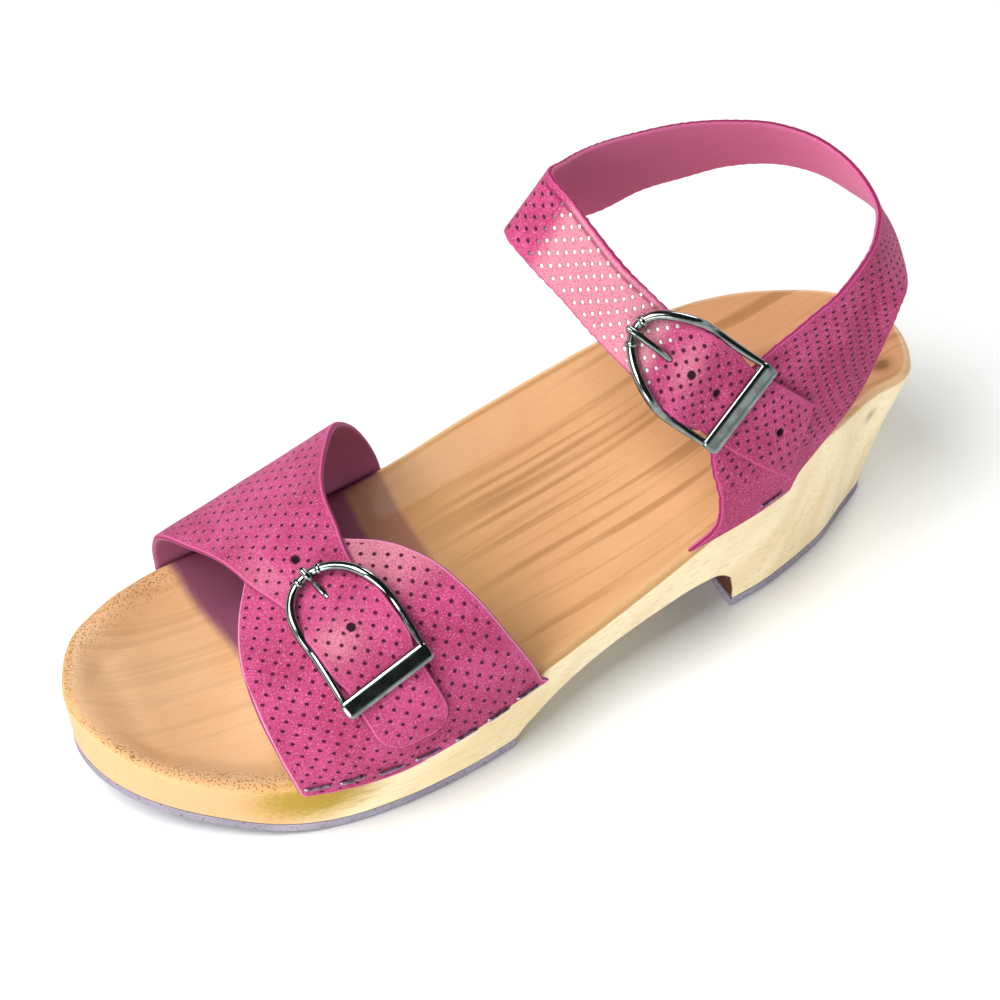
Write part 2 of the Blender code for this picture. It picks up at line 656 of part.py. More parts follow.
def main():
    for obj in list(bpy.data.objects):
        bpy.data.objects.remove(obj)
    part = collection("wooden_sandal")
    tools = collection("cutters")

    wood = material("carved_alder", (0.78, 0.52, 0.28), 0.5)
    suede = material("pink_suede", (0.58, 0.09, 0.27), 0.85)
    rubber = material("grey_rubber", (0.38, 0.37, 0.40), 0.8)
    steel = material("nickel_plate", (0.60, 0.60, 0.60), 0.25, 1.0)

    make_sole(part, tools, wood)
    make_tread("heel_lift", (0.0, HEEL_BREAST), part, rubber)
    make_tread("forefoot_outsole", (OUTSOLE_REAR, LENGTH), part, rubber)
    _, vamp_strap = make_vamp(part, suede)
    ankle_strap = make_ankle_strap(part, suede)
    make_ankle_tab(part, suede)
    make_buckle("vamp_buckle", vamp_carrier, VAMP_LEVELS, part, tools, steel)
    make_buckle("ankle_buckle", ankle_carrier, ANKLE_LEVELS, part, tools, steel)
    make_prong("vamp_prong", vamp_carrier, VAMP_LEVELS, vamp_strap, part, tools, steel)
    make_prong("ankle_prong", ankle_carrier, ANKLE_LEVELS, ankle_strap, part, tools, steel)
    for number, along in enumerate((16.0, 41.0)):
        punch_hole(vamp_strap, f"vamp_hole_{number + 1}", vamp_carrier, along, 4.0, tools)
    for number, along in enumerate((-17.0, 6.5, 17.0)):
        punch_hole(ankle_strap, f"ankle_hole_{number + 1}", ankle_carrier, along, 0.0, tools)
    make_staples(part, steel)


main()
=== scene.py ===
# %% [markdown]
# # A wooden sole sandal in pink suede
#
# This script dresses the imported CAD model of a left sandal: a carved alder sole on grey rubber, a crossed
# suede vamp, an ankle strap and two nickel plated buckles. Each piece is a surface worked out with numpy from
# the same sizes as the solids, in millimetres, with x from the back of the heel to the toe.

# %% The frame
import math

import bmesh
import bpy
import numpy as np
from mathutils import Matrix, Vector


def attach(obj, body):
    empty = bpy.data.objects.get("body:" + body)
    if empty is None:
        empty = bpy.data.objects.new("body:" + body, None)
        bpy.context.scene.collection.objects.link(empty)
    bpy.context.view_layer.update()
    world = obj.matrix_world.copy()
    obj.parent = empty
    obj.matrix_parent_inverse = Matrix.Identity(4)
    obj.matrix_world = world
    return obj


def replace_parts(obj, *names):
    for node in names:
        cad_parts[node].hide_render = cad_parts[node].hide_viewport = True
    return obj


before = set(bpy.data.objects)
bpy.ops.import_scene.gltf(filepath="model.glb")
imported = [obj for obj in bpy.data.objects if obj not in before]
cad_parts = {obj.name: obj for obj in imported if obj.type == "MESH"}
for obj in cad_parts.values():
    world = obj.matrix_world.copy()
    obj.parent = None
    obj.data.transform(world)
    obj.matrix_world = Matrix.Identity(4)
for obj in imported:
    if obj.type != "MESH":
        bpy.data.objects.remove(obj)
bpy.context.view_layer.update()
MM = 0.001
HEEL_CENTRE = 40.0
print("CAD nodes:", len(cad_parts))

# %% [markdown]
# ## Camera
#
# The photograph looks down from the outer side of the toe with a long lens. A direction, a distance and a
# lens say that in numbers that can be read, and two small slopes turn the camera, so it needs no shift.

# %% The camera
TARGET = Vector((0.085, 0.0, 0.030))
CAMERA_TURN, CAMERA_HEIGHT, CAMERA_DISTANCE = math.radians(151.74), math.radians(49.0), 1.150
LENS_MM, SENSOR_MM = 155.62, 36.0
AIM_RIGHT, AIM_UP = 0.002068, 0.009272


def looking(place, along, up):
    """Matrix of a camera or lamp at a place whose -Z axis points along a direction."""
    back = -along.normalized()
    side = up.cross(back).normalized()
    turned = Matrix((side, back.cross(side), back)).transposed().to_4x4()
    turned.translation = place
    return turned


def aim_camera():
    """A camera on a sphere round the target."""
    flat = math.cos(CAMERA_HEIGHT)
    back = Vector((math.sin(CAMERA_TURN) * flat, -math.cos(CAMERA_TURN) * flat, math.sin(CAMERA_HEIGHT)))
    right = Vector((math.cos(CAMERA_TURN), math.sin(CAMERA_TURN), 0.0))
    up = back.cross(right)
    lens = bpy.data.cameras.new("photo_camera")
    lens.lens, lens.sensor_width = LENS_MM, SENSOR_MM
    camera = bpy.data.objects.new("photo_camera", lens)
    bpy.context.scene.collection.objects.link(camera)
    along = right * AIM_RIGHT + up * AIM_UP - back
    camera.matrix_world = looking(TARGET + back * CAMERA_DISTANCE, along, up)
    bpy.context.scene.camera = camera
    return camera


print("camera at", [round(value, 3) for value in aim_camera().location])

# %% [markdown]
# ## Curves through tables
#
# A sole has no simple formula, so its maker's patterns are short tables with cubic pieces through them. The
# slope at each row is the mean slope of its neighbours, so the curve bends no more than the rows ask.

# %% Curves through tables
LENGTH = 248.0
LEATHER, RUBBER, GAP = 1.8, 3.0, 0.3
RIM_ROUND = 2.2
TOE_SPRING, TOE_SPRING_START = 11.1, 188.0
HEEL_BREAST, OUTSOLE_REAR = 66.0, 141.0


def through(rows, at):
    """Smooth curve through a table's rows, whose first column is the place along the curve."""
    rows = np.asarray(rows, float)
    knots, values = rows[:, 0], rows[:, 1:]
    slopes = np.gradient(values, knots, axis=0)
    at = np.clip(np.asarray(at, float), knots[0], knots[-1])
    cell = np.clip(np.searchsorted(knots, at) - 1, 0, len(knots) - 2)
    step = (knots[cell + 1] - knots[cell])[..., None]
    t = (at[..., None] - knots[cell][..., None]) / step
    return (
        (2 * t**3 - 3 * t**2 + 1) * values[cell] + (t**3 - 2 * t**2 + t) * step * slopes[cell]
        + (3 * t**2 - 2 * t**3) * values[cell + 1] + (t**3 - t**2) * step * slopes[cell + 1]
    )


def step_up(t):
    """Smooth step: 3t2 - 2t3 between 0 and 1."""
    t = np.clip(t, 0, 1)
    return t * t * (3 - 2 * t)


def bell(distance, width):
    """Bell curve of a distance: exp(-(d / width) squared)."""
    return np.exp(-((distance / width) ** 2))


def unit(vectors):
    """Vectors divided by their lengths."""
    return vectors / np.linalg.norm(vectors, axis=-1, keepdims=True)


def lengths_along(line):
    """Distance of each point from the line's start, measured along it."""
    return np.concatenate([[0.0], np.cumsum(np.linalg.norm(np.diff(line, axis=0), axis=1))])


print("a curve half way from 0 to 1 is at", float(step_up(0.5)))

# %% [markdown]
# ## The sole's pattern
#
# The plan is an ellipse of the sole's length times a fullness from the table, so it is round at the toe and
# the heel whatever the table says. The rim, the dish, the lean of the walls and the arch have tables too.

# %% The sole's pattern
SOLE_ROWS = (
    (4, 14.1, 13.5, 51.9, 0, 4), (16, 19.3, 24, 52, 0, 5), (33, 24.5, 32.2, 51.3, 0, 5),
    (58, 31.7, 36.6, 47.2, 2.5, 4.2), (88, 35.9, 38.4, 36.2, 6.5, 3), (114, 39, 39.6, 28.1, 6.5, 2.6),
    (139, 43.5, 41.2, 24.2, 1, 3.8), (163, 47, 42.5, 21.8, -1, 4.8), (186, 46.7, 43.1, 20.8, -1.2, 4.8),
    (208, 42.6, 40.8, 21.2, -0.4, 4.5), (226.5, 33, 33.2, 24, 0, 4), (240, 21.3, 21, 28.2, 0, 3.4),
    (246, 11, 9.5, 31, 0, 3),
)
SOLE = dict(zip(("x", "outer", "inner", "rim", "inner_rise", "dish"), np.array(SOLE_ROWS).T))
WALL_INSET = (
    (0, 14), (9, 12.2), (20, 7.2), (35, 4), (50, 3.6), (66, 4.4), (90, 4), (115, 3), (139, 0.4), (163, 0.4),
    (186, 0.3), (208, 1.2), (232, 2), (248, 1.6),
)
ARCH = (
    (66.0, -4), (66.7, 8), (68.2, 14.5), (72, 18.4), (79, 20.2), (92, 19.4), (105, 17), (118, 13.4),
    (130, 9.4), (137.5, 6.0), (141, 3.0), (141.5, -4),
)


def column(name, x, divide=1.0):
    """One column of the sole's table at any x."""
    return through(np.column_stack([SOLE["x"], SOLE[name] / divide]), x)[..., 0]


def roundness(x):
    """Width of an ellipse of the sole's length: 0 at its two ends and 1 in the middle."""
    x = np.clip(x, 0.0, LENGTH)
    return 2 * np.sqrt(x * (LENGTH - x)) / LENGTH


def half_width(side, x):
    """The plan outline: the ellipse times the table's fullness at x."""
    return column(side, x, roundness(SOLE["x"])) * roundness(x)


def rim_height(side, x):
    """Height of the rim, a little higher on the inner side of the waist."""
    return column("rim", x) + (column("inner_rise", x) if side == "inner" else 0.0)


def toe_spring(x):
    """Height of the rubber over the floor: flat to the ball, then a power curve up to the toe."""
    return TOE_SPRING * (np.maximum(0.0, x - TOE_SPRING_START) / (LENGTH - TOE_SPRING_START)) ** 1.7


def wood_underside(x):
    """Height of the wood over the floor where the rubber is, as if the arch weren't carved."""
    return RUBBER + GAP + toe_spring(x)


def wall_inset(x):
    """How far the side wall leans in on its way down."""
    return through(WALL_INSET, x)[..., 0]


def carved_underside(x):
    """Height of the wood's underside: the higher of the flat foot and the arch's line."""
    places, heights = np.array(ARCH, float).T
    straight = np.interp(x, places, heights)
    arch = np.where((x > places[2]) & (x < places[9]), through(ARCH[2:10], x)[..., 0], straight)
    return np.maximum(wood_underside(x), arch)


def outline(side, turn, inset):
    """Outline point at an angle along the sole, 0 heel to pi toe, moved in along its normal."""
    sign = 1 if side == "outer" else -1

    def edge(angle):
        """The outline itself."""
        x = LENGTH / 2 * (1 - np.cos(angle))
        return np.stack([x, sign * half_width(side, x)], -1)

    small = 1e-3
    along = edge(np.clip(turn + small, 0, math.pi)) - edge(np.clip(turn - small, 0, math.pi))
    outward = unit(np.stack([-along[..., 1] * sign, along[..., 0] * sign], -1))
    lengthwise = np.stack([-np.cos(turn), 0 * turn], -1)
    outward = np.where((np.sin(turn) < 1e-6)[..., None], lengthwise, outward)
    return edge(turn) - outward * np.asarray(inset)[..., None]


print("half width at the ball:", round(float(half_width("outer", 170.0)), 1), "mm")

# %% [markdown]
# ## Meshes from grids
#
# A surface of two parameters is a grid of points, and its faces follow from the grid's size alone, so both
# are whole arrays. Other numbers for each point go into attributes, which the materials read later.

# %% Meshes from grids
PIECES = []
SAME_POINT, SHARP_DEGREES = 1e-7, 50


def grid_quads(rows, columns, wrap=False):
    """Quads between neighbouring points of a grid; wrap joins the last column to the first."""
    r, c = np.meshgrid(np.arange(rows - 1), np.arange(columns if wrap else columns - 1), indexing="ij")
    after = (c + 1) % columns
    quads = (r * columns + c, r * columns + after, (r + 1) * columns + after, (r + 1) * columns + c)
    return np.stack(quads, -1).reshape(-1, 4)


def build(name, points, quads, finish, fields=None, caps=(), body="root"):
    """An object from millimetre points and quads, with point attributes, smooth shading and a material."""
    mesh = bpy.data.meshes.new(name)
    faces = quads.tolist() + [tuple(cap) for cap in caps]
    mesh.from_pydata(((points - (HEEL_CENTRE, 0, 0)) * MM).tolist(), [], faces)
    for field, values in (fields or {}).items():
        values = np.asarray(values, np.float32)
        kind, key = ("FLOAT", "value") if values.ndim == 1 else ("FLOAT_VECTOR", "vector")
        mesh.attributes.new(field, kind, "POINT").data.foreach_set(key, values.ravel())
    seams = bmesh.new()
    seams.from_mesh(mesh)
    bmesh.ops.remove_doubles(seams, verts=seams.verts, dist=SAME_POINT)
    bmesh.ops.dissolve_degenerate(seams, edges=seams.edges, dist=SAME_POINT / 10)
    bmesh.ops.recalc_face_normals(seams, faces=seams.faces)
    seams.to_mesh(mesh)
    seams.free()
    mesh.shade_smooth()
    mesh.set_sharp_from_angle(angle=math.radians(SHARP_DEGREES))
    made = bpy.data.objects.new(name, mesh)
    bpy.context.scene.collection.objects.link(made)
    mesh.materials.append(finish)
    PIECES.append(made)
    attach(made, body)
    print(name, "has", len(mesh.polygons), "faces")
    return made


# %% [markdown]
# ## One small material toolkit
#
# Colours are given as the hex values that a picture shows, and one function turns them to the linear numbers
# in which light adds up. A paint holds one material's nodes; each method adds a node and returns its output.

# %% The material toolkit
def srgb(code):
    """Linear colour of an sRGB hex value: each channel c becomes ((c + 0.055) / 1.055) to the power 2.4."""
    channels = [int(code[i : i + 2], 16) / 255 for i in (1, 3, 5)]
    linear = [c / 12.92 if c <= 0.04045 else ((c + 0.055) / 1.055) ** 2.4 for c in channels]
    return (*linear, 1.0)


class Paint:
    """The nodes of a material or a sky."""

    def __init__(self, made, **values):
        """Takes a new material or sky, and single values for its shader's sockets."""
        made.use_nodes = True
        self.made, self.tree = made, made.node_tree
        self.shader = self.tree.nodes.get("Principled BSDF") or self.tree.nodes["Background"]
        for socket, value in values.items():
            self.shader.inputs[socket.replace("_", " ")].default_value = value

    def add(self, kind, links=None, **settings):
        """Adds a node; settings are its properties, and links fill its inputs with values or outputs."""
        node = self.tree.nodes.new("ShaderNode" + kind)
        for name, value in settings.items():
            setattr(node, name, value)
        for name, value in (links or {}).items():
            if isinstance(value, bpy.types.NodeSocket):
                self.tree.links.new(value, node.inputs[name])
            else:
                node.inputs[name].default_value = value
        return node

    def finish(self, **outputs):
        """Joins outputs to the shader's sockets and returns the material."""
        for socket, output in outputs.items():
            self.tree.links.new(output, self.shader.inputs[socket.replace("_", " ")])
        return self.made

    def place(self):
        """Object coordinates, in metres."""
        return self.add("TexCoord").outputs["Object"]

    def field(self, name, output="Fac"):
        """An attribute of the mesh."""
        return self.add("Attribute", attribute_name=name).outputs[output]

    def noise(self, vector, scale, detail, output="Fac"):
        """Smooth noise, with this many blobs to a metre."""
        return self.add("TexNoise", {"Vector": vector, "Scale": scale, "Detail": detail}).outputs[output]

    def maths(self, operation, first, second):
        """One step of arithmetic on numbers."""
        return self.add("Math", {0: first, 1: second}, operation=operation).outputs[0]

    def times(self, first, second):
        """The product of two numbers."""
        return self.maths("MULTIPLY", first, second)

    def vector(self, operation, first, second=(0, 0, 0), output="Vector"):
        """One step of arithmetic on vectors."""
        return self.add("VectorMath", {0: first, 1: second}, operation=operation).outputs[output]

    def ramp(self, value, low, high, to_low=0.0, to_high=1.0):
        """Smooth change of a number from one range to another, held outside it."""
        links = {"Value": value, "From Min": low, "From Max": high, "To Min": to_low, "To Max": to_high}
        return self.add("MapRange", links, interpolation_type="SMOOTHSTEP").outputs["Result"]

    def coats(self, colour, *layers):
        """Lays colours over a first one, each by its share: 0 shows what is under it and 1 hides it."""
        for share, shade in layers:
            under, over = (srgb(code) if isinstance(code, str) else code for code in (colour, shade))
            colour = self.add("Mix", {0: share, 6: under, 7: over}, data_type="RGBA").outputs[2]
        return colour

    def bump(self, height, strength, distance):
        """Normals tilted by the slope of a height."""
        return self.add("Bump", {"Height": height, "Strength": strength, "Distance": distance}).outputs[0]


def new_paint(name, **values):
    """The paint of a new material."""
    return Paint(bpy.data.materials.new(name), **values)


print("alder orange is", [round(c, 3) for c in srgb("#E2AC72")[:3]])

# %% [markdown]
# ## Carved alder
#
# The sole is carved from one block of alder with the grain running from heel to toe, sanded and waxed. The
# footbed cuts through the growth rings at a low angle, which draws long brown streaks over the waist and the
# heel; the side walls show finer, paler lines. The pattern is noise in Object coordinates, squeezed along
# the grain, so it meets itself at every edge as carved wood does.

# %% The wood finish
GRAIN_SQUEEZE, RING_SQUEEZE = (0.014, 1.0, 0.55), (1.0, 1.0, 0.16)
GRAIN_WANDER = (0.0003, 0.011, 0.002)
STREAK_MM, PORE_MM = 3.0, 0.55
STAIN_PLACE, STAIN_SIZE = (0.160, 0.044, 0.0150), (0.022, 0.020, 0.011)
# Four of these paint shade, not stain: the shade inside the vamp, the vamp's shadow behind it, the shade
# under the arch at the heel's breast and the shade along the outer rim at the waist. Toe tan and knots are
# the wood's own colour.
STAIN_AND_SHADE_COLOURS = (
    ("toe_tan", "#DDA66E"), ("painted_rim_shade", "#A87A3E"), ("painted_tunnel_shade", "#82475F"), ("painted_vamp_shadow", "#B5884E"),
    ("breast", "#5A2A1A"), ("knot", "#7A5532"),
)


def alder():
    """Carved alder, waxed: streaks across y, long along x, with pores, stains, knots, and painted shade in
    and behind the vamp, under the arch and along the rim.
    """
    p = new_paint("carved_alder", Roughness=0.55, Specular_IOR_Level=0.35, Coat_Weight=0.06)
    where = p.place()
    wander = p.vector("MULTIPLY", p.noise(where, 13.0, 1.0, "Color"), GRAIN_WANDER)
    grain = p.vector("ADD", p.vector("MULTIPLY", where, GRAIN_SQUEEZE), wander)
    streaks = p.noise(p.vector("MULTIPLY", grain, RING_SQUEEZE), 1 / (STREAK_MM * MM), 1.5)
    fine = p.noise(grain, 6 / (STREAK_MM * MM), 4.0)
    pores = p.noise(where, 1 / (PORE_MM * MM), 2.0)
    top, heel = p.field("footbed"), p.field("streaked")

    bed = p.coats(
        "#EFC395", (p.ramp(p.noise(where, 26.0, 2.0), 0.35, 0.68), "#E5AE7A"),
        (p.times(p.ramp(streaks, 0.5, 0.38), 0.5), "#EDB985"), (p.times(heel, 0.8), "#CC9664"),
        (p.times(p.times(p.ramp(streaks, 0.50, 0.68), heel), 0.72), "#A67440"),
        (p.times(p.ramp(fine, 0.5, 0.75), 0.18), "#B9804A"),
    )
    from_stain = p.vector("DIVIDE", p.vector("SUBTRACT", where, STAIN_PLACE), STAIN_SIZE)
    ragged = p.maths("ADD", p.vector("LENGTH", from_stain, output="Value"), p.times(fine, 0.8))
    mustard = p.times(p.ramp(ragged, 1.55, 0.7), p.maths("SUBTRACT", 1.0, p.times(top, 0.65)))
    specks = p.times(p.ramp(pores, 0.52, 0.64), p.field("end_grain"))
    colour = p.coats(
        "#FCEAC2", (p.ramp(streaks, 0.42, 0.7), "#F2DAAA"),
        (p.times(p.ramp(fine, 0.5, 0.72), 0.4), "#D6B27A"), (top, bed),
        *((p.field(name), shade) for name, shade in STAIN_AND_SHADE_COLOURS), (mustard, "#B08E22"), (specks, "#8F6630"),
    )
    return p.finish(
        Base_Color=colour, Roughness=p.ramp(fine, 0.3, 0.7, 0.48, 0.64),
        Normal=p.bump(p.maths("ADD", fine, p.times(pores, 0.4)), 0.10, 0.0004),
    )


ALDER = alder()
print("finish:", ALDER.name)

# %% [markdown]
# ## The sole
#
# Each section across the sole is one closed line: the dished footbed, a rounded rim, a leaning wall and the
# underside. The sections are set along the outline by an angle, so they crowd where the toe and the heel
# turn. The hollow under the waist needs no cutting tool: the wall ends at the arch's height there.

# %% The sole's surface
WALL_STEPS = np.linspace(0.0, 1.0, 22)[1:]
BED_STEPS, RIM_STEPS = 81, 6
UNDER_STEPS = np.concatenate([[0.01], np.linspace(0.08, 0.92, 10), [0.99]])
BREAST_ROWS = (64.5, 65.6, 66, 66.2, 66.45, 66.7, 67.1, 67.6, 68.2, 69, 70, 71)
FRONT_ROWS = (137.5, 139, 140.2, 141, 141.04, 141.2)


def side_wall(side, turn):
    """A rounded rim and a leaning wall down to the arch or the rubber."""
    parts = []
    for angle in np.radians(np.linspace(75, 0, RIM_STEPS)):
        edge = outline(side, turn, np.full_like(turn, RIM_ROUND * (1 - math.cos(angle))))
        drop = RIM_ROUND * (1 - math.sin(angle))
        parts.append(np.dstack([edge, rim_height(side, edge[..., 0]) - drop]))
    top = outline(side, turn, np.zeros_like(turn))
    inset = wall_inset(top[..., 0])
    foot = outline(side, turn, inset)[..., 0]
    high = rim_height(side, top[..., 0]) - RIM_ROUND
    fall = carved_underside(foot) - high
    carved = fall / (wood_underside(foot) - high)
    for share in WALL_STEPS:
        parts.append(np.dstack([outline(side, turn, inset * share * carved), high + fall * share]))
    wall = np.concatenate(parts, axis=1)
    return wall if side == "outer" else wall[:, ::-1]


def sole_sections(turns):
    """Points of the sole, section by section: footbed from inner to outer, outer side, underside, inner."""
    across = (1 - np.cos(np.linspace(0, math.pi, BED_STEPS)))[None, :] / 2
    inner_top, outer_top = (
        outline(side, turns, np.full(len(turns), RIM_ROUND))[:, None] for side in ("inner", "outer")
    )
    plan = inner_top + (outer_top - inner_top) * across[..., None]
    x = plan[..., 0]
    rim = rim_height("inner", x) * (1 - across) + rim_height("outer", x) * across
    to_side = np.minimum(across, 1 - across) * np.linalg.norm(outer_top - inner_top, axis=-1)
    to_end = np.minimum(x, LENGTH - x) - RIM_ROUND
    footbed = np.dstack([plan, rim - column("dish", x) * step_up(to_side / 13) * step_up(to_end / 15)])
    outer, inner = (side_wall(side, turns[:, None]) for side in ("outer", "inner"))
    underside = outer[:, -1:] + (inner[:, :1] - outer[:, -1:]) * UNDER_STEPS[None, :, None]
    underside[..., 2] = carved_underside(underside[..., 0])
    return np.concatenate([footbed, outer, underside, inner], axis=1)


def rows_along_sole():
    """Angles along the sole: even steps, with closer ones at the heel's breast and the arch's front end."""
    special = np.arccos(1 - 2 * np.array(BREAST_ROWS + FRONT_ROWS) / LENGTH)
    ends = np.array([0.0, 0.006, 0.015, 0.03])
    even = np.linspace(0.05, math.pi - 0.05, 210)
    return np.unique(np.concatenate([ends, even, special, math.pi - ends]))


SECTIONS = sole_sections(rows_along_sole())
print("sole grid", SECTIONS.shape)

# %% [markdown]
# ## Stains, lines and painted shade on the wood
#
# Some of the wood's colour follows the shoe and not the tree: painted plum shade in the hollow under the
# vamp, the vamp's painted shadow behind it, painted shade under the arch at the heel's breast and along the
# outer rim at the waist, end grain at the toe. Each is a number from 0 to 1 for every point.

# %% Numbers for the wood's stains and painted shade
# Where painted plum shade lies on the footbed inside the vamp, between its rear edge and its slanted front
# edge.
TUNNEL_SHADE_REAR, TUNNEL_SHADE_FRONT, TUNNEL_SHADE_SLANT = 137.5, 201.0, 0.138
KNOTS = ((18.9, 20.0, 42.1, 1.9), (11.3, 10.8, 50.0, 2.6), (23.7, 16.6, 50.0, 1.6), (120.8, 4.4, 25.0, 0.45))


def sole_fields(sections):
    """Shares of each stain and each painted shade at each point of the sole."""
    rows, columns = sections.shape[:2]
    x, y, z = sections.reshape(-1, 3).T
    number = np.tile(np.arange(columns), rows)
    bed = (number < BED_STEPS).astype(float)
    rim = ((number >= BED_STEPS) & (number < BED_STEPS + 4)) | (number >= columns - 4)
    first_under = BED_STEPS + RIM_STEPS + len(WALL_STEPS)
    under = (number >= first_under) & (number < first_under + len(UNDER_STEPS))
    high = np.where(y > 0, rim_height("outer", x), rim_height("inner", x))
    to_rim = np.where(y > 0, half_width("outer", x), half_width("inner", x)) - np.abs(y)
    waist = step_up((x - 25) / 30) * step_up((150 - x) / 22)
    # Painted plum shade on the footbed and rims inside the vamp.
    shade_front = TUNNEL_SHADE_FRONT - TUNNEL_SHADE_SLANT * (y + 36)
    tunnel_shade = step_up((x - TUNNEL_SHADE_REAR) / 1.5) * step_up((shade_front + 1.5 - x) / 4) * step_up(z - high + 7.5)
    knots = sum(bell(np.hypot(np.hypot(x - a, y - b), z - c), r) for a, b, c, r in KNOTS)
    return {
        "footbed": np.maximum(bed, 0.8 * rim),
        "streaked": 0.25 + 0.75 * step_up((142 - x) / 25) * np.maximum(bed, 0.5),
        # Painted shade along the rounding of the outer rim at the waist.
        "painted_rim_shade": 0.75 * rim * (y > 0) * waist * bell(z - high + 1.0, 1.6),
        # Painted plum shade inside the vamp.
        "painted_tunnel_shade": tunnel_shade * np.maximum(bed, rim),
        # Painted shadow that the vamp casts on the footbed behind it.
        "painted_vamp_shadow": 0.55 * bed * step_up((x - 112) / 24) * (x < 150),
        "knot": np.clip(1.3 * knots, 0, 0.9),
        "end_grain": step_up((x - 196) / 12) * bell(to_rim - 3, 4.5) * np.maximum(bed, rim),
        "toe_tan": 0.85 * step_up((x - 190) / 22) * (1 - bed),
        # Painted shade under the arch at the heel's breast.
        "breast": under * step_up((x - 63.5) / 1.5) * step_up((96 - x) / 22),
    }


def make_sole():
    """The sole's one closed surface, zipped along the middle of the toe and the heel."""
    rows, columns = SECTIONS.shape[:2]
    points, stains = SECTIONS.reshape(-1, 3), sole_fields(SECTIONS)
    made = build("carved_sole", points, grid_quads(rows, columns, wrap=True), ALDER, stains)
    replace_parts(made, "wooden_sole")
    print("stains:", ", ".join(stains))


make_sole()

# %% [markdown]
# ## Rubber treads
#
# A thin microcellular rubber sheet is glued under the heel and under the forefoot and ground flush with the
# wood. Its side is matt, lilac grey and finely pitted, and its lower edge is worn a little round.

# %% The treads
TREAD_ROUND, TREAD_GRAIN_MM = 0.5, 0.8
ROUND_STEPS = np.radians(np.linspace(0, 90, 5))


def cell_rubber():
    """Microcellular rubber, ground at the sides: matt, grey, with pits about a millimetre across."""
    p = new_paint("microcellular_rubber", Roughness=0.85, Specular_IOR_Level=0.3)
    where = p.place()
    pits = p.noise(where, 1 / (TREAD_GRAIN_MM * MM), 4.0)
    cloud = p.ramp(p.noise(where, 45.0, 2.0), 0.3, 0.7)
    colour = p.coats("#A79FAF", (cloud, "#8E8795"), (p.ramp(pits, 0.56, 0.68), "#716A77"))
    return p.finish(Base_Color=colour, Normal=p.bump(pits, 0.35, 0.0004))


def make_tread(name, node, x_range, finish):
    """A flat sheet between two places along the sole, flush with the wood and rounded at the floor."""
    low, high = (math.acos(1 - 2 * x / LENGTH) for x in x_range)
    turns = np.linspace(low, high, 110)
    flat = wall_inset(LENGTH / 2 * (1 - np.cos(turns)))[:, None]
    inset = flat + np.concatenate([[0.0], TREAD_ROUND * (1 - np.cos(ROUND_STEPS))])
    rise = np.concatenate([[RUBBER], TREAD_ROUND * (1 - np.sin(ROUND_STEPS))])

    def sheet(start, end, lift):
        """Points between two edges, at a height over the floor."""
        middle = start * (1 - between) + end * between
        middle[..., 2] = toe_spring(middle[..., 0]) + lift
        return middle

    between = np.linspace(0, 1, 10)[None, 1:-1, None]
    edges = [outline(side, turns[:, None], inset) for side in ("outer", "inner")]
    outer, inner = (np.dstack([edge, toe_spring(edge[..., 0]) + rise]) for edge in edges)
    under = sheet(outer[:, -1:], inner[:, -1:], 0.0)
    over = sheet(inner[:, :1], outer[:, :1], RUBBER)
    loops = np.concatenate([outer, under, inner[:, ::-1], over], axis=1)
    rows, columns = loops.shape[:2]
    caps = [range(r * columns, (r + 1) * columns) for r in (0, rows - 1) if np.ptp(loops[r, :, 1]) > 0.01]
    made = build(name, loops.reshape(-1, 3), grid_quads(rows, columns, wrap=True), finish, caps=caps)
    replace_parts(made, node)


RUBBER_FINISH = cell_rubber()
make_tread("heel_tread", "heel_lift", (0.0, HEEL_BREAST), RUBBER_FINISH)
make_tread("forefoot_tread", "forefoot_outsole", (OUTSOLE_REAR, LENGTH), RUBBER_FINISH)

# %% [markdown]
# ## The shape of the vamp
#
# The vamp's leather stands on the two rims and arches over the foot. A circle would be too round and a box
# too square, so its sections are superellipses: y follows the cosine of an angle and z its sine, both to a
# power below one. Past the rims the leather turns down and lies on the wooden walls, where it is stapled.

# %% The vamp's surface
VAMP_RISE = ((138, 48), (150, 45.5), (160, 42.4), (175, 36), (190, 28.5), (207, 20.8))
VAMP_LEAN, VAMP_POWER = -6.0, 2.2
STAPLED_DEGREES, STRAP_BOTTOM = 8, 8.0
PANEL_BOTTOM = (
    (129, 22.5), (142, 21.6), (152, 20.4), (164, 18.8), (176, 16.9), (187, 17.0), (198, 18.4), (205, 19.4),
)
PANEL_EDGES = (
    (-8, 131.5, 203.5), (0, 134, 204.8), (22, 141.8, 207.3), (42, 148.2, 208.2), (61, 155.5, 206.6),
    (73, 162.6, 203.6), (82, 170.3, 199.7), (92, 178, 193),
)
STRAP_EDGES = (
    (8, 161.8, 182.2), (32, 166, 185.3), (55, 168.9, 186.9), (70, 170.6, 189.4), (77, 170.3, 191.4),
    (84, 169.2, 193.6), (93, 167.8, 195.6), (108, 163.4, 199), (118, 159.3, 201.2), (129, 154.8, 202.8),
    (145, 149, 204), (160, 143, 204), (180, 137, 204), (188, 135.5, 203.5),
)
STRAP_TIP, STRAP_SPREAD = 10.0, 0.17
STRAP_LIFT = (
    (0, 2.6), (30, 2.6), (36, 2.6), (42, 2.9), (48, 4.3), (55, 5.7), (61, 4.4), (67, 2.8), (76, 2.6),
    (86, 2.6), (96, 2.4), (110, 0.4), (118, 0.0), (130, 0.0), (188, 0.0),
)


def wall_share(side, x, z):
    """How far down the side wall a height is: 0 under the rim and 1 at the underside."""
    high = rim_height(side, x) - RIM_ROUND
    return np.clip((high - z) / (high - wood_underside(x)), 0, 1)


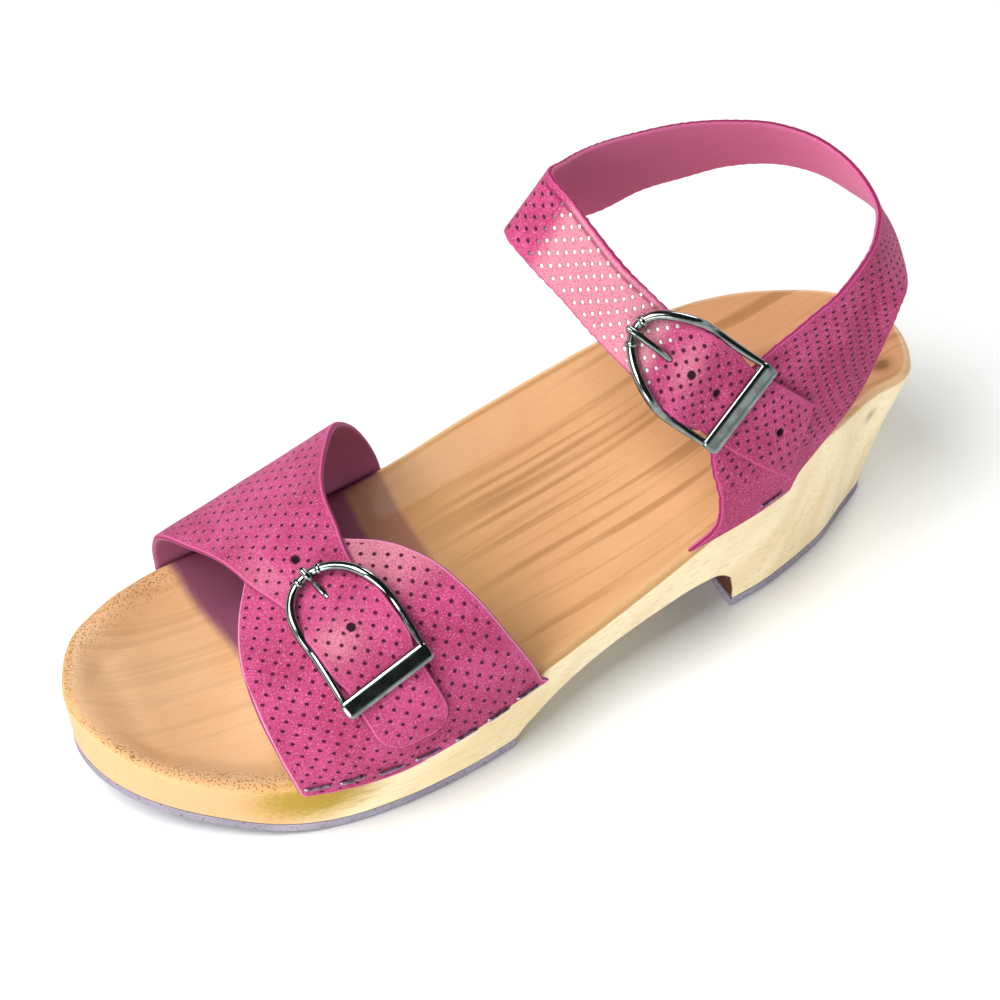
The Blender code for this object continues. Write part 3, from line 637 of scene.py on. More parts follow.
def instep(x, degrees):
    """Inner face of the vamp: a superellipse from the outer rim (0) over the foot (90) to the inner (180)."""
    outer, inner = half_width("outer", x), half_width("inner", x)
    angle = np.radians(np.clip(degrees, 0, 180))
    power = 2 / VAMP_POWER
    outer_rim, inner_rim = rim_height("outer", x), rim_height("inner", x)
    rim = outer_rim + (inner_rim - outer_rim) * (1 - np.cos(angle)) / 2
    cosine = np.sign(np.cos(angle)) * np.abs(np.cos(angle)) ** power
    y = (outer - inner) / 2 + ((outer + inner) / 2 + GAP) * cosine + VAMP_LEAN * np.sin(angle)
    z = rim + through(VAMP_RISE, x)[..., 0] * np.sin(angle) ** power
    z = z - np.clip(-degrees / STAPLED_DEGREES, 0, 1) * (rim - through(PANEL_BOTTOM, x)[..., 0])
    z = z - np.clip((degrees - 180) / STAPLED_DEGREES, 0, 1) * STRAP_BOTTOM
    y = y - wall_inset(x) * wall_share("outer", x, z) * (degrees < 0)
    y = y + wall_inset(x) * wall_share("inner", x, z) * (degrees > 180)
    return np.stack([x + 0 * y, y, z], -1)


def arrays(*values):
    """Numbers and arrays as arrays of one shape."""
    return np.broadcast_arrays(*(np.asarray(value, float) for value in values))


def vamp(x, degrees, height):
    """The vamp's inner face moved outwards by a height along its normal, the cross product of two slopes."""
    x, degrees, height = arrays(x, degrees, height)
    down_slope = instep(x, degrees + 0.4) - instep(x, degrees - 0.4)
    forward = instep(x + 0.4, degrees) - instep(x - 0.4, degrees)
    return instep(x, degrees) + unit(np.cross(down_slope, forward)) * height[..., None]


def panel_face(degrees, across, height):
    """The panel's leather by its place round the foot and its share across, -1 rear to 1 front."""
    edges = through(PANEL_EDGES, degrees)
    return vamp(edges.mean(axis=-1) + np.ptp(edges, axis=-1) / 2 * across, degrees, height)


def strap_face(degrees, across, height):
    """The vamp strap's leather: as the panel's, with a rounded tip, lifted over the buckle's bar."""
    edges = through(STRAP_EDGES, degrees)
    tip = np.clip((degrees - STRAP_EDGES[0][0]) / STRAP_TIP, 0, 1)
    half = np.ptp(edges, axis=-1) / 2 * (0.22 + 0.78 * np.sqrt(1 - (1 - tip) ** 2.3))
    half = half * (1 + STRAP_SPREAD * step_up((degrees - 36) / 8) * step_up((72 - degrees) / 8))
    lift = through(STRAP_LIFT, degrees)[..., 0]
    return vamp(edges.mean(axis=-1) + half * across, degrees, height + lift)


print("vamp over the foot at", np.round(instep(170.0, 90.0), 1))

# %% [markdown]
# ## The shape of the ankle strap
#
# The ankle strap is a ribbon that twists as it goes: each row of its table holds a point of its middle, the
# vector across it, how far it is pulled onto the shoe's outer side there, and how far it stands off.

# %% The ankle strap's surface
LOOP = np.array((
    (50.3, 31.6, 61.4, -10.5, 1.5, 18, 1, 3.8), (65.3, 28, 77, -17.1, -2.7, 11.8, 1, 3.8),
    (77.7, 17.9, 89.6, -15.1, -1.2, 11.9, 1, 3.8), (84.6, 8.3, 96.6, -13.2, -2.6, 13, 0.8, 3.8),
    (89.8, 0.3, 102.8, -10, -0.8, 19, 0, 0), (94.3, -10.3, 110.5, -10.7, -2, 18.6, 0, 0),
    (97.5, -19, 115.9, -12.4, -0.9, 18.1, 0, 0), (99.1, -27.7, 118.6, -11.9, 2.6, 18.3, 0, 0),
    (88, -34.5, 111.9, -6.6, 0.5, 21.3, 0, 0), (71.8, -39.4, 106, -0.6, -0.6, 23.8, 0, 0),
    (57.5, -42.5, 102.7, 2, 2.3, 23.7, 0, 0), (44.6, -43.6, 99.6, 2.8, 3.3, 23.5, 0, 0),
    (29.6, -42.6, 96.6, 4, 4.7, 21.7, 0, 0), (15.8, -38.2, 93.5, 5.4, 5.2, 20.8, 0, 0),
    (7.8, -31.3, 91.2, 5.7, 6.5, 20.4, 0, 0), (3.2, -21.7, 88.9, 6.4, 9.1, 19.4, 0, 0),
    (2.2, -10.6, 87.5, 9.2, 11.6, 16.6, 0, 0), (5.4, -1.2, 86.8, 12.1, 8, 16.8, 0, 0),
    (11, 7, 85.8, 15.2, 4.8, 16.2, 0.3, 1.2), (19, 13.8, 84.4, 19.4, 2, 12.6, 0.8, 1.2),
    (29.5, 18.1, 80.4, 29.6, 0.5, 16.6, 1, 1.2), (37.4, 19.9, 77.2, 37, 0.6, 20, 1, 1.2),
    (46.2, 23.3, 71.6, 44.6, 1.6, 19, 1, 1.2), (52.8, 26.6, 65.3, 46, 3.8, 14.2, 1, 1.2),
    (56.9, 29.3, 59.3, 40.3, 4.8, 10.2, 1, 1.2), (60, 31.9, 51.9, 32, 5.5, 2.4, 1, 1.2),
    (63.4, 33.2, 46.8, 28.4, 5.1, -2.6, 1, 1.2), (69.2, 34, 42.2, 33.7, 5.6, -1.2, 1, 1.2),
))
QUARTER_LEAN = 1 / 140
LOOP_AT = lengths_along(LOOP[:, :3])
QUARTER_END = float(LOOP_AT[-1])
BUCKLE_AT, BAR_PLACE = LOOP_AT[1] + 5.0, 16.0
HUMP_HEIGHT, HUMP_LENGTH = 1.7, 6.0
ANKLE_SPREAD = 0.16
TAB_WIDTH, TAB_DEPTH = 0.75, 5.6


def ankle_middle(along, across):
    """The strap's middle face. On the shoe's outer side its y is the carved wall's, and over the rim it leans
    inwards by the square of the height."""
    row = through(np.column_stack([LOOP_AT, LOOP]), along)
    point = row[..., 0:3] + row[..., 3:6] / 2 * across[..., None]
    x, z, hug = point[..., 0], point[..., 2], np.clip(row[..., 6], 0, 1)
    lean = QUARTER_LEAN * np.maximum(0.0, z - rim_height("outer", x)) ** 2
    side = half_width("outer", x) - wall_inset(x) * wall_share("outer", x, z) - lean + row[..., 7]
    point[..., 1] = point[..., 1] * (1 - hug) + side * hug
    return point


def ankle(along, across, height):
    """A point by mm along the strap, half widths across it and a height on its normal."""
    along, across, height = arrays(along, across, height)
    forward = ankle_middle(along + 0.5, across) - ankle_middle(along - 0.5, across)
    upward = ankle_middle(along, across + 0.05) - ankle_middle(along, across - 0.05)
    return ankle_middle(along, across) - unit(np.cross(forward, upward)) * height[..., None]


def bar_hump(along):
    """Height of the ankle strap over its buckle's bar."""
    return HUMP_HEIGHT * bell(along - BUCKLE_AT - BAR_PLACE, HUMP_LENGTH)


def ankle_face(along, across, height):
    """The ankle strap's inner face, moved out by a height, and spread out to the rails of its buckle."""
    held = step_up((along - BUCKLE_AT - 3) / 6) * step_up((BUCKLE_AT + 31 - along) / 8)
    return ankle(along, across * (1 + ANKLE_SPREAD * held), height + bar_hump(along) - LEATHER / 2)


def tab_face(along, across, height):
    """The tab behind the strap that ties the buckle's bar to the quarter."""
    return ankle(along, TAB_WIDTH * across, height + 0.5 * bar_hump(along) - TAB_DEPTH)


print("ankle strap is", round(QUARTER_END), "mm long")

# %% [markdown]
# ## Perforated suede
#
# The straps are split cow leather, dyed through, buffed to a nap on the outside and punched with staggered
# rows of pinholes. The nap scatters light from its tips; that sparkle is painted as light and dark flecks,
# and the pale bloom is a painted highlight where light falls on the straps, as is the light band along the
# edges. The pinholes follow the leather and not the room, so their lattice reads an attribute that holds each
# point's place in millimetres on the flat strap; they and the punched holes are painted dark as shade inside
# them. The cut edges show the darker core.

# %% The suede finish
VAMP_PITCH, ANKLE_PITCH = 4.7, 4.0
PINHOLE_RADIUS, PUNCHED_RADIUS, SOFT_EDGE = 0.5, 1.25, 0.14
NAP_MM = 0.45


def lattice_distance(p, flat, pitch, shift):
    """Distance in mm to the nearest point of a square lattice, moved by a shift in shares of its pitch."""
    scaled = p.vector("MULTIPLY", flat, (1 / pitch,) * 3)
    part = p.vector("FRACTION", p.vector("ADD", scaled, (shift, shift, 0.5)))
    return p.times(p.vector("LENGTH", p.vector("SUBTRACT", part, (0.5,) * 3), output="Value"), pitch)


def suede(name, lining, pitch, punched=(), edge_highlight="#DC8CB2"):
    """Perforated suede with its lining side, edges and punched adjusting holes."""
    p = new_paint(
        name, Roughness=0.88, Specular_IOR_Level=0.22, Sheen_Weight=0.35, Sheen_Roughness=0.4,
        Sheen_Tint=srgb("#F3B4CC"),
    )
    where, flat = p.place(), p.field("flat", "Vector")
    edge, lined = p.field("edge"), p.field("lining")
    nap = p.noise(where, 1 / (NAP_MM * MM), 3.0)
    colour = p.coats(
        "#BC4878", (p.ramp(p.noise(where, 70.0, 3.0), 0.35, 0.65), "#A83763"),
        # The pale share paints a highlight where light falls on the suede.
        (p.times(p.field("pale"), 0.85), "#CD8792"), (p.times(p.ramp(nap, 0.54, 0.66), 0.42), "#E58DB0"),
        (p.times(p.ramp(nap, 0.46, 0.34), 0.55), "#86225A"), (p.field("seam"), "#7C1546"),
    )
    near = p.maths("MINIMUM", *(lattice_distance(p, flat, pitch, shift) for shift in (0.0, 0.5)))
    hole = p.ramp(near, PINHOLE_RADIUS + SOFT_EDGE, PINHOLE_RADIUS - SOFT_EDGE)
    hole = p.times(hole, p.ramp(edge, 1.6, 2.2))
    hole = p.times(hole, p.maths("SUBTRACT", 1.0, p.field("plain")))
    reaches = [p.vector("DISTANCE", flat, (*spot, 0.0), output="Value") for spot in punched]
    for reach in reaches:
        hole = p.times(hole, p.ramp(reach, 1.9, 2.3))
    # Pinholes: painted shade inside them, and painted daylight where the room shows through the free strap.
    colour = p.coats(colour, (hole, p.coats("#4E0B30", (p.field("see_through"), "#FFF4F2"))))
    # The punched holes are painted near black, as shade inside them.
    for reach in reaches:
        mark = p.ramp(reach, PUNCHED_RADIUS + 0.1, PUNCHED_RADIUS - 0.25)
        colour = p.coats(colour, (mark, "#2A0A1C"))
        hole = p.maths("MAXIMUM", hole, mark)
    inside = p.coats(lining, (p.times(p.ramp(nap, 0.5, 0.7), 0.12), "#D08AA8"))
    # A painted highlight on the band just inside every edge, then the darker cut edge, then the lining.
    colour = p.coats(
        colour, (p.ramp(edge, 1.0, 0.45), edge_highlight), (p.ramp(edge, 0.5, 0.1), "#8E1E54"), (lined, inside),
    )
    sunk = p.times(p.times(hole, p.maths("SUBTRACT", 1.0, lined)), -4.0)
    return p.finish(Base_Color=colour, Normal=p.bump(p.maths("ADD", nap, sunk), 0.8, 0.00025))


print("pinholes every", VAMP_PITCH, "and", ANKLE_PITCH, "mm in staggered rows")

# %% [markdown]
# ## Leather with a real wall
#
# Both faces of a strap come from one function, and near every edge the wall closes as a half circle does: the
# thickness is the square root of 1 - (1 - d / r) squared, where d is the distance from the edge. So the edges
# are round and the skin is closed.

# %% Leather pieces
EDGE_ROUND = 0.8
EDGE_STEPS = np.array([0.0, 0.03, 0.12, 0.3, 0.55, EDGE_ROUND])
NEAR_FACE = 0.9
# The pale share is a painted highlight, and see_through paints daylight in the pinholes.
SURFACE_FIELDS = ("pale", "plain", "seam", "see_through")


def rulers(face, first, last):
    """Places along a piece and their distance in mm from its start, measured down its middle."""
    places = np.linspace(first, last, 900)
    return places, lengths_along(face(places, 0.0 * places, NEAR_FACE))


def flat_place(face, first, last, point):
    """(along, across) in mm on the flat strap of the place nearest to a point."""
    places, reach = rulers(face, first, last)
    across = np.linspace(-1, 1, 121)
    grid = face(places[::3, None], across[None, :], LEATHER)
    row, number = np.unravel_index(np.linalg.norm(grid - point, axis=-1).argmin(), grid.shape[:2])
    return reach[::3][row], across[number] * np.linalg.norm(grid[row, -1] - grid[row, 0]) / 2


def leather(name, face, first, last, finish, step=0.7, dents=(), fields=None, wavy=0.0):
    """A closed leather piece over a face function; dents are (point, radius, depth) pressed into it."""
    places, reach = rulers(face, first, last)
    inner_rows = np.linspace(EDGE_ROUND, reach[-1] - EDGE_ROUND, int(reach[-1] / step))
    mm = np.concatenate([EDGE_STEPS[:-1], inner_rows, reach[-1] - EDGE_STEPS[-2::-1]])
    at = np.interp(mm, reach, places)
    wide = np.linalg.norm(face(at, 1.0 + 0 * at, NEAR_FACE) - face(at, -1.0 + 0 * at, NEAR_FACE), axis=-1)
    half = (wide / 2)[:, None]
    even = np.linspace(-1, 1, int(wide.max() / step))[None, :] * (half - EDGE_ROUND)
    across = np.concatenate([EDGE_STEPS[None, :-1] - half, even, half - EDGE_STEPS[None, -2::-1]], axis=1)
    ragged = wavy * (np.sin(mm * 1.9) + 0.6 * np.sin(mm * 3.7 + 1.0) + 0.5 * np.sin(mm * 6.1))[:, None]
    share = (across + ragged * (across / half) ** 8) / half
    edge = np.minimum(half - np.abs(across), np.minimum(mm, reach[-1] - mm)[:, None])
    wall = np.sqrt(np.clip(1 - (1 - np.clip(edge / EDGE_ROUND, 0, 1)) ** 2, 0, 1)) * LEATHER / 2
    where = at[:, None] + 0 * share
    outer = face(where, share, LEATHER / 2 + wall)
    sink = sum(
        depth * step_up((radius + 0.35 - np.linalg.norm(outer - point, axis=-1)) / 0.7)
        for point, radius, depth in dents
    )
    outer, inner = (face(where, share, LEATHER / 2 + height) for height in (wall - sink, -wall))

    def doubled(values):
        """Numbers of the outer face, then those of the inner face without its edge."""
        shape = (-1, values.shape[2])
        return np.concatenate([values.reshape(shape), values[1:-1, 1:-1].reshape(shape)])

    rows, columns = share.shape
    second = np.arange(rows * columns).reshape(rows, columns)
    second[1:-1, 1:-1] = rows * columns + np.arange((rows - 2) * (columns - 2)).reshape(rows - 2, -1)
    quads = grid_quads(rows, columns)
    points = np.concatenate([outer.reshape(-1, 3), inner[1:-1, 1:-1].reshape(-1, 3)])
    both = np.concatenate([quads, second.reshape(-1)[quads][:, ::-1]])
    numbers = {
        "flat": doubled(np.dstack([mm[:, None] + 0 * share, across, 0 * share])),
        "edge": doubled(edge[..., None])[:, 0],
        "lining": (np.arange(len(points)) >= rows * columns).astype(float),
    }
    for key, rule in ({key: None for key in SURFACE_FIELDS} | (fields or {})).items():
        numbers[key] = doubled((rule(where, share) if rule else 0.0 * share)[..., None])[:, 0]
    made = build(name, points, both, finish, numbers)
    return made


print("leather walls are", LEATHER, "mm")

# %% [markdown]
# ## Where the buckles sit
#
# Each buckle bends with the strap that it holds, so its places are given on the strap: a distance up from
# the keeper plate, a distance across, and a height over the leather.

# %% Places on the straps
WIRE, BAR_RADIUS, PRONG_RADIUS = 1.3, 1.4, 1.0
FRAME_HALF_WIDTH, FRAME_LENGTH, FRAME_ROUND = 12.5, 33.5, 15.0
PLATE_LENGTH, PLATE_WIDTH, PLATE_THICKNESS = 27.2, 5.4, 2.2
VAMP_PLATE_DEGREES, VAMP_PLATE_SKEW = 33.6, 0.14
VAMP_LEVELS = {"plate": 5.9, "bar": 4.0, "rail": 4.5, "round": 7.0, "hole": 30.6}
ANKLE_LEVELS = {"plate": 2.6, "bar": -0.9, "rail": 0.7, "round": 3.1, "hole": 25.5}
VAMP_HOLES, ANKLE_HOLES = (16.0, 41.0), (-17.0, 6.5, 17.0)


def vamp_carrier(along, across, height):
    """A point by its distance up from the vamp buckle's plate, across the strap and over the panel."""
    along, across = arrays(along, across)
    along = along + VAMP_PLATE_SKEW * across * (1 - along / FRAME_LENGTH)
    degrees = np.linspace(-7, 179, 400)
    reach = lengths_along(vamp(through(STRAP_EDGES, degrees).mean(axis=-1), degrees, 4.0))
    turn = np.interp(np.interp(VAMP_PLATE_DEGREES, degrees, reach) + along, reach, degrees)
    middle = through(STRAP_EDGES, turn).mean(axis=-1)
    stretch = np.linalg.norm(vamp(middle + 1, turn, height) - vamp(middle - 1, turn, height), axis=-1) / 2
    return vamp(middle - across / stretch, turn, height)


def ankle_carrier(along, across, height):
    """A point by its distance up from the ankle buckle's plate, across the strap and over it."""
    at = BUCKLE_AT + np.asarray(along, float)
    half = np.linalg.norm(ankle(at, 1.0, 0.0) - ankle(at, -1.0, 0.0), axis=-1) / 2
    return ankle(at, across / half, height)


VAMP_PUNCHED = [vamp_carrier(along, 0.0, 4.6) for along in VAMP_HOLES]
ANKLE_PUNCHED = [ankle_carrier(along, 0.0, 0.9) for along in ANKLE_HOLES]
print("vamp holes near", np.round(VAMP_PUNCHED, 1).tolist())

# %% [markdown]
# ## The vamp and its strap
#
# The panel covers the outer side of the forefoot. The strap starts as a tip on the panel, passes under the
# buckle's plate, over its bar and round to the inner side of the sole.

# %% The vamp's two pieces
STAPLES = ((200, 1.5), (191, 0.5), (180.6, -1), (170.3, -1.5), (158.4, -3), (148.3, -4), (138.9, -2))
STAPLE_DENT = (2.6, 0.35)
HOLE_DENT = (PUNCHED_RADIUS, 1.3)


def panel_highlight(degrees, across):
    """Painted highlight on the panel's top, behind the buckle, where the light falls."""
    return 0.85 * step_up((degrees - 46) / 22) * step_up((-across - 0.05) / 0.5)


def strap_highlight(degrees, across):
    """Painted highlight where the strap humps over the bar, at its rear half."""
    hump = 0.75 * bell(degrees - 52, 6.5) * bell(across - 0.45, 0.55)
    return hump + 0.35 * bell(degrees - 84, 8) * (across > 0.4)


def make_vamp():
    """The panel with staple dents, and the strap with its punched holes."""
    panel = leather(
        "vamp_panel_suede", panel_face, -8, 92, suede("panel_suede", "#A25A7D", VAMP_PITCH),
        dents=[(vamp(x, degrees, LEATHER), *STAPLE_DENT) for x, degrees in STAPLES],
        fields={"pale": panel_highlight},
    )
    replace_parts(panel, "vamp_panel")
    marks = [flat_place(strap_face, 8, 188, point) for point in VAMP_PUNCHED]
    strap = leather(
        "vamp_strap_suede", strap_face, 8, 188,
        suede("strap_suede", "#A25A7D", VAMP_PITCH, marks, edge_highlight="#CB5F92"),
        dents=[(point, *HOLE_DENT) for point in VAMP_PUNCHED], fields={"pale": strap_highlight},
    )
    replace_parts(strap, "vamp_strap")


make_vamp()

# %% [markdown]
# ## The ankle strap and its tab
#
# The strap hangs free in front and behind, where daylight comes through its pinholes against a pale room, so
# their colour is painted white there, and painted dark as shade where leather lies behind them.

# %% The ankle strap
FREE_START, FREE_END = LOOP_AT[3] - 3, LOOP_AT[6] + 2


def ankle_highlight(along, across):
    """Painted highlight in front of the buckle and over its bar."""
    front = step_up((along - FREE_START) / 4) * step_up((FREE_END - along) / 6)
    return np.maximum(front, 0.6 * bell(along - BUCKLE_AT - BAR_PLACE - 3, 4.5) * bell(across - 0.1, 0.6))


def ankle_daylight(along, across):
    """Daylight through the pinholes of the free front."""
    return step_up((along - FREE_START + 1) / 2) * step_up((FREE_END - along) / 3)


def quarter_plain(along, across):
    """No pinholes at the foot of the quarter and along its rear edge."""
    return step_up((along - LOOP_AT[24] - 4 * across) / 5)


def front_seam(along, across):
    """A stitched groove 2 mm inside the upper edge in front, where the strap's edge is turned over."""
    seam = 0.8 * bell((1 - across) * 10.0 - 2.2, 0.45)
    return seam * step_up((along - LOOP_AT[3]) / 4) * step_up((LOOP_AT[7] + 2 - along) / 4)


def make_ankle_strap():
    """The ankle strap with its adjusting holes, and the tab behind it."""
    marks = [flat_place(ankle_face, 0.0, QUARTER_END, point) for point in ANKLE_PUNCHED]
    rules = {"pale": ankle_highlight, "see_through": ankle_daylight, "plain": quarter_plain, "seam": front_seam}
    strap = leather(
        "ankle_strap_suede", ankle_face, 0.0, QUARTER_END,
        suede("ankle_suede", "#C8658E", ANKLE_PITCH, marks, edge_highlight="#BF4E84"), step=0.75,
        dents=[(point, *HOLE_DENT) for point in ANKLE_PUNCHED], fields=rules, wavy=0.1,
    )
    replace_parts(strap, "ankle_strap")
    tab_suede = suede("tab_suede", "#8E2F5E", ANKLE_PITCH)
    tab = leather("ankle_tab_suede", tab_face, 4.0, BUCKLE_AT + BAR_PLACE + 7, tab_suede, wavy=0.25)
    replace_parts(tab, "ankle_buckle_tab")


make_ankle_strap()

# %% [markdown]
# ## Nickel plated steel
#
# The buckles are bent from steel wire, tumbled and plated with nickel, then waxed dark. Polished metal shows
# the dark studio and the bright lamps, so most of the finish is in the light. Its roughness varies a little
# where it has been handled.

# %% The metal finish
def nickel_plate():
    """Polished dark nickel: metallic, smooth, with handling marks a few millimetres across."""
    p = new_paint("dark_nickel_plate", Metallic=1.0)
    where = p.place()
    handled, cast = p.noise(where, 260.0, 4.0), p.noise(where, 900.0, 3.0)
    colour = p.coats("#8F9693", (p.ramp(handled, 0.42, 0.62), "#7C8380"))
    rough = p.ramp(handled, 0.35, 0.7, 0.10, 0.20)
    return p.finish(Base_Color=colour, Roughness=rough, Normal=p.bump(cast, 0.06, 0.0002))


def staple_steel():
    """Coppered staple wire, dulled: metallic, rough, and violet beside the suede."""
    p = new_paint("staple_steel", Roughness=0.38, Metallic=1.0)
    worn = p.ramp(p.noise(p.place(), 700.0, 2.0), 0.4, 0.65)
    return p.finish(Base_Color=p.coats("#A08CA0", (worn, "#645268")))


NICKEL, STAPLE_STEEL = nickel_plate(), staple_steel()
print("finishes:", NICKEL.name, STAPLE_STEEL.name)

# %% [markdown]
# ## Wire, rings and plates
#
# A wire is a circle carried along a line. The circle stands square to the line, and the way out of the
# leather keeps it from twisting. A radius of nearly nothing at an end closes it as a dome.

# %% Wire
def tube(line, radius, out, sides=20):
    """Points of a wire: line + radius (cos a, sin a) in the plane square to the line; out sets its twist."""
    tangent = unit(np.gradient(line, axis=0))
    side = unit(np.cross(tangent, out))
    up = np.cross(side, tangent)
    turn = np.linspace(0, 2 * math.pi, sides, endpoint=False)[None, :, None]
    radius = np.broadcast_to(radius, len(line))[:, None, None]
    return line[:, None] + radius * (np.cos(turn) * side[:, None] + np.sin(turn) * up[:, None])


def domed(line, radius, steps=5):
    """A line with extra points at both ends and radii that close it with domes: r sin a, r (1 - cos a) in."""
    turn = np.linspace(0.12, math.pi / 2, steps)
    lengths = lengths_along(line)
    inner = np.linspace(radius, lengths[-1] - radius, max(len(line), 4))[1:-1]
    start = radius * (1 - np.cos(turn))
    reach = np.concatenate([start, inner, lengths[-1] - start[::-1]])
    width = radius * np.concatenate([np.sin(turn), np.ones(len(inner)), np.sin(turn)[::-1]])
    return np.stack([np.interp(reach, lengths, line[:, axis]) for axis in range(3)], -1), width


def smooth_line(line, count):
    """A smooth curve through a few points, by their number."""
    rows = np.column_stack([np.arange(len(line)), line])
    return through(rows, np.linspace(0, len(line) - 1, count))


def metal(name, loops, finish=NICKEL):
    """A closed metal piece from loops of points, with its two ends capped."""
    rows, columns = loops.shape[:2]
    caps = [range(columns), range((rows - 1) * columns, rows * columns)]
    made = build(name, loops.reshape(-1, 3), grid_quads(rows, columns, wrap=True), finish, caps=caps)
    return made


def outwards(carrier, along, across, height):
    """The way out of the leather at places on a strap."""
    return carrier(along, across, height + 0.5) - carrier(along, across, height - 0.5)


print("wire is", 2 * WIRE, "mm thick")

# %% [markdown]
# ## Buckles
#
# Each is a D of wire whose straight end is wrapped by a folded keeper plate, with a bar across its middle
# under the strap. The prong turns on the bar, comes up through the strap and rests on the round end between
# two swaged rings. Fastened, it doesn't move, so nothing here turns.

# %% The buckles
RAIL_WIRE, BAR_WIRE = 0.98, 0.9
RING_SPREAD, RING_HALF = 2.1, 0.8
PLATE_ROUND = 1.5


def frame_path(t):
    """The D by a number from 0 to 1: up one rail, round a half ellipse, down the other."""
    turn = math.pi * np.clip((t - 0.3) / 0.4, 0, 1)
    rail = np.minimum(np.clip(t / 0.3, 0, 1), np.clip((1 - t) / 0.3, 0, 1)) * (FRAME_LENGTH - FRAME_ROUND)
    return rail + FRAME_ROUND * np.sin(turn), FRAME_HALF_WIDTH * np.cos(turn)


def frame_heights(levels, along):
    """Height of the wire over the strap: down beside the bar and up over the round end."""
    rows = (
        (0.0, levels["plate"]), (BAR_PLACE - 5, levels["rail"]), (BAR_PLACE + 1, levels["rail"]),
        (BAR_PLACE + 8, levels["round"]), (FRAME_LENGTH, levels["round"]),
    )
    return through(rows, along)[..., 0]


def prong_line(levels):
    """The prong's side view: from the bar under the strap, up through its hole and over the round end."""
    low, hole = levels["bar"] - 0.2, levels["hole"]
    top = levels["round"] + WIRE + GAP + PRONG_RADIUS
    return np.array((
        (BAR_PLACE + BAR_RADIUS + PRONG_RADIUS + GAP, low), (hole - 3.5, low), (hole, low + 2.6),
        (FRAME_LENGTH - 1.6, top - 0.7), (FRAME_LENGTH - 0.4, top), (FRAME_LENGTH + 1.4, top + 0.1),
    ))


def plate_loops(carrier, level):
    """The keeper plate: a strip with a superellipse as its section, and ends that round off."""
    across = unit(carrier(0.0, 1.0, level) - carrier(0.0, -1.0, level))
    out = unit(np.cross(across, carrier(1.0, 0.0, level) - carrier(-1.0, 0.0, level)))
    forward = np.cross(out, across)
    turn = np.linspace(0, 2 * math.pi, 40, endpoint=False)[None, :]
    bend = np.linspace(math.pi / 2, 0, 8)
    reach = PLATE_LENGTH / 2 - PLATE_ROUND + PLATE_ROUND * np.sin(bend)
    u = np.concatenate([-reach, reach[::-1]])[:, None]
    narrow = np.concatenate([np.cos(bend), np.cos(bend)[::-1]])[:, None]
    cosine, sine = np.cos(turn), np.sin(turn)
    wide = np.sign(cosine) * np.abs(cosine) ** 0.6 * (PLATE_WIDTH / 2 - PLATE_ROUND * (1 - narrow))
    thick = np.sign(sine) * np.abs(sine) ** 0.8 * PLATE_THICKNESS / 2 * (0.3 + 0.7 * narrow)
    spread = zip((u, wide, thick), (across, forward, out))
    return carrier(0.0, 0.0, level) + sum(much[..., None] * way for much, way in spread)


def make_buckle(strap_name, carrier, levels):
    """Frame, keeper plate, bar, prong and rings of one buckle."""
    along, across = frame_path(np.linspace(0, 1, 150))
    heights = frame_heights(levels, along)
    thin = RAIL_WIRE + (WIRE - RAIL_WIRE) * step_up(along / 16)
    wire = tube(carrier(along, across, heights), thin, outwards(carrier, along, across, heights))
    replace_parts(metal(strap_name + "_buckle_frame", wire), strap_name + "_buckle")
    metal(strap_name + "_keeper_plate", plate_loops(carrier, levels["plate"]))
    ends = np.linspace(-FRAME_HALF_WIDTH, FRAME_HALF_WIDTH, 24) * 0.99
    bar = carrier(BAR_PLACE, ends, levels["bar"])
    metal(strap_name + "_buckle_bar", tube(bar, BAR_WIRE, outwards(carrier, BAR_PLACE, ends, 0.0)))

    side = smooth_line(prong_line(levels), 40)
    path, width = domed(carrier(side[:, 0], 0.0, side[:, 1]), PRONG_RADIUS)
    reach = np.linspace(side[0, 0], side[-1, 0], len(path))
    away = outwards(carrier, reach, 0.0, np.interp(reach, side[:, 0], side[:, 1]))
    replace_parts(metal(strap_name + "_prong_pin", tube(path, width * 0.95, away)), strap_name + "_prong")

    for number, shift in enumerate((-RING_SPREAD, RING_SPREAD), start=1):
        along, across = frame_path(0.5 + shift / 62 + np.array([-0.006, 0, 0.006]))
        before, spot, after = carrier(along, across, frame_heights(levels, along))
        profile = np.linspace(-1, 1, 9)
        ring_line = spot + profile[:, None] * unit(after - before) * RING_HALF
        bulge = WIRE - 0.1 + 0.6 * np.sqrt(1 - profile**2)
        out = outwards(carrier, along, across, 0.0)[1:2]
        metal(f"{strap_name}_buckle_ring_{number}", tube(ring_line, bulge, out))


make_buckle("vamp", vamp_carrier, VAMP_LEVELS)
make_buckle("ankle", ankle_carrier, ANKLE_LEVELS)

# %% [markdown]
# ## Staples
#
# Seven staples clamp the panel's lower edge to the wood and one clamps the quarter. Each crown is a wire that
# lies in the dent it has pressed, with its two legs bent into the leather.

# %% The staples
STAPLE_LENGTH, STAPLE_RADIUS = 7.0, 0.45
QUARTER_STAPLE_AT, QUARTER_STAPLE_ACROSS, QUARTER_HALF_WIDTH = QUARTER_END - 4.5, -0.4, 15
STAPLE_REACH = STAPLE_LENGTH * np.array([-0.5, -0.49, -0.42, -0.2, 0.2, 0.42, 0.49, 0.5])
STAPLE_RISE = np.array([-1.2, -0.3, 0.30, 0.36, 0.36, 0.30, -0.3, -1.2])


def make_staple(name, node, line, out):
    """A crown and two legs, smoothed at the bends."""
    wire = tube(smooth_line(line, 28), STAPLE_RADIUS, out[None, :], sides=10)
    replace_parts(metal(name, wire, STAPLE_STEEL), node)


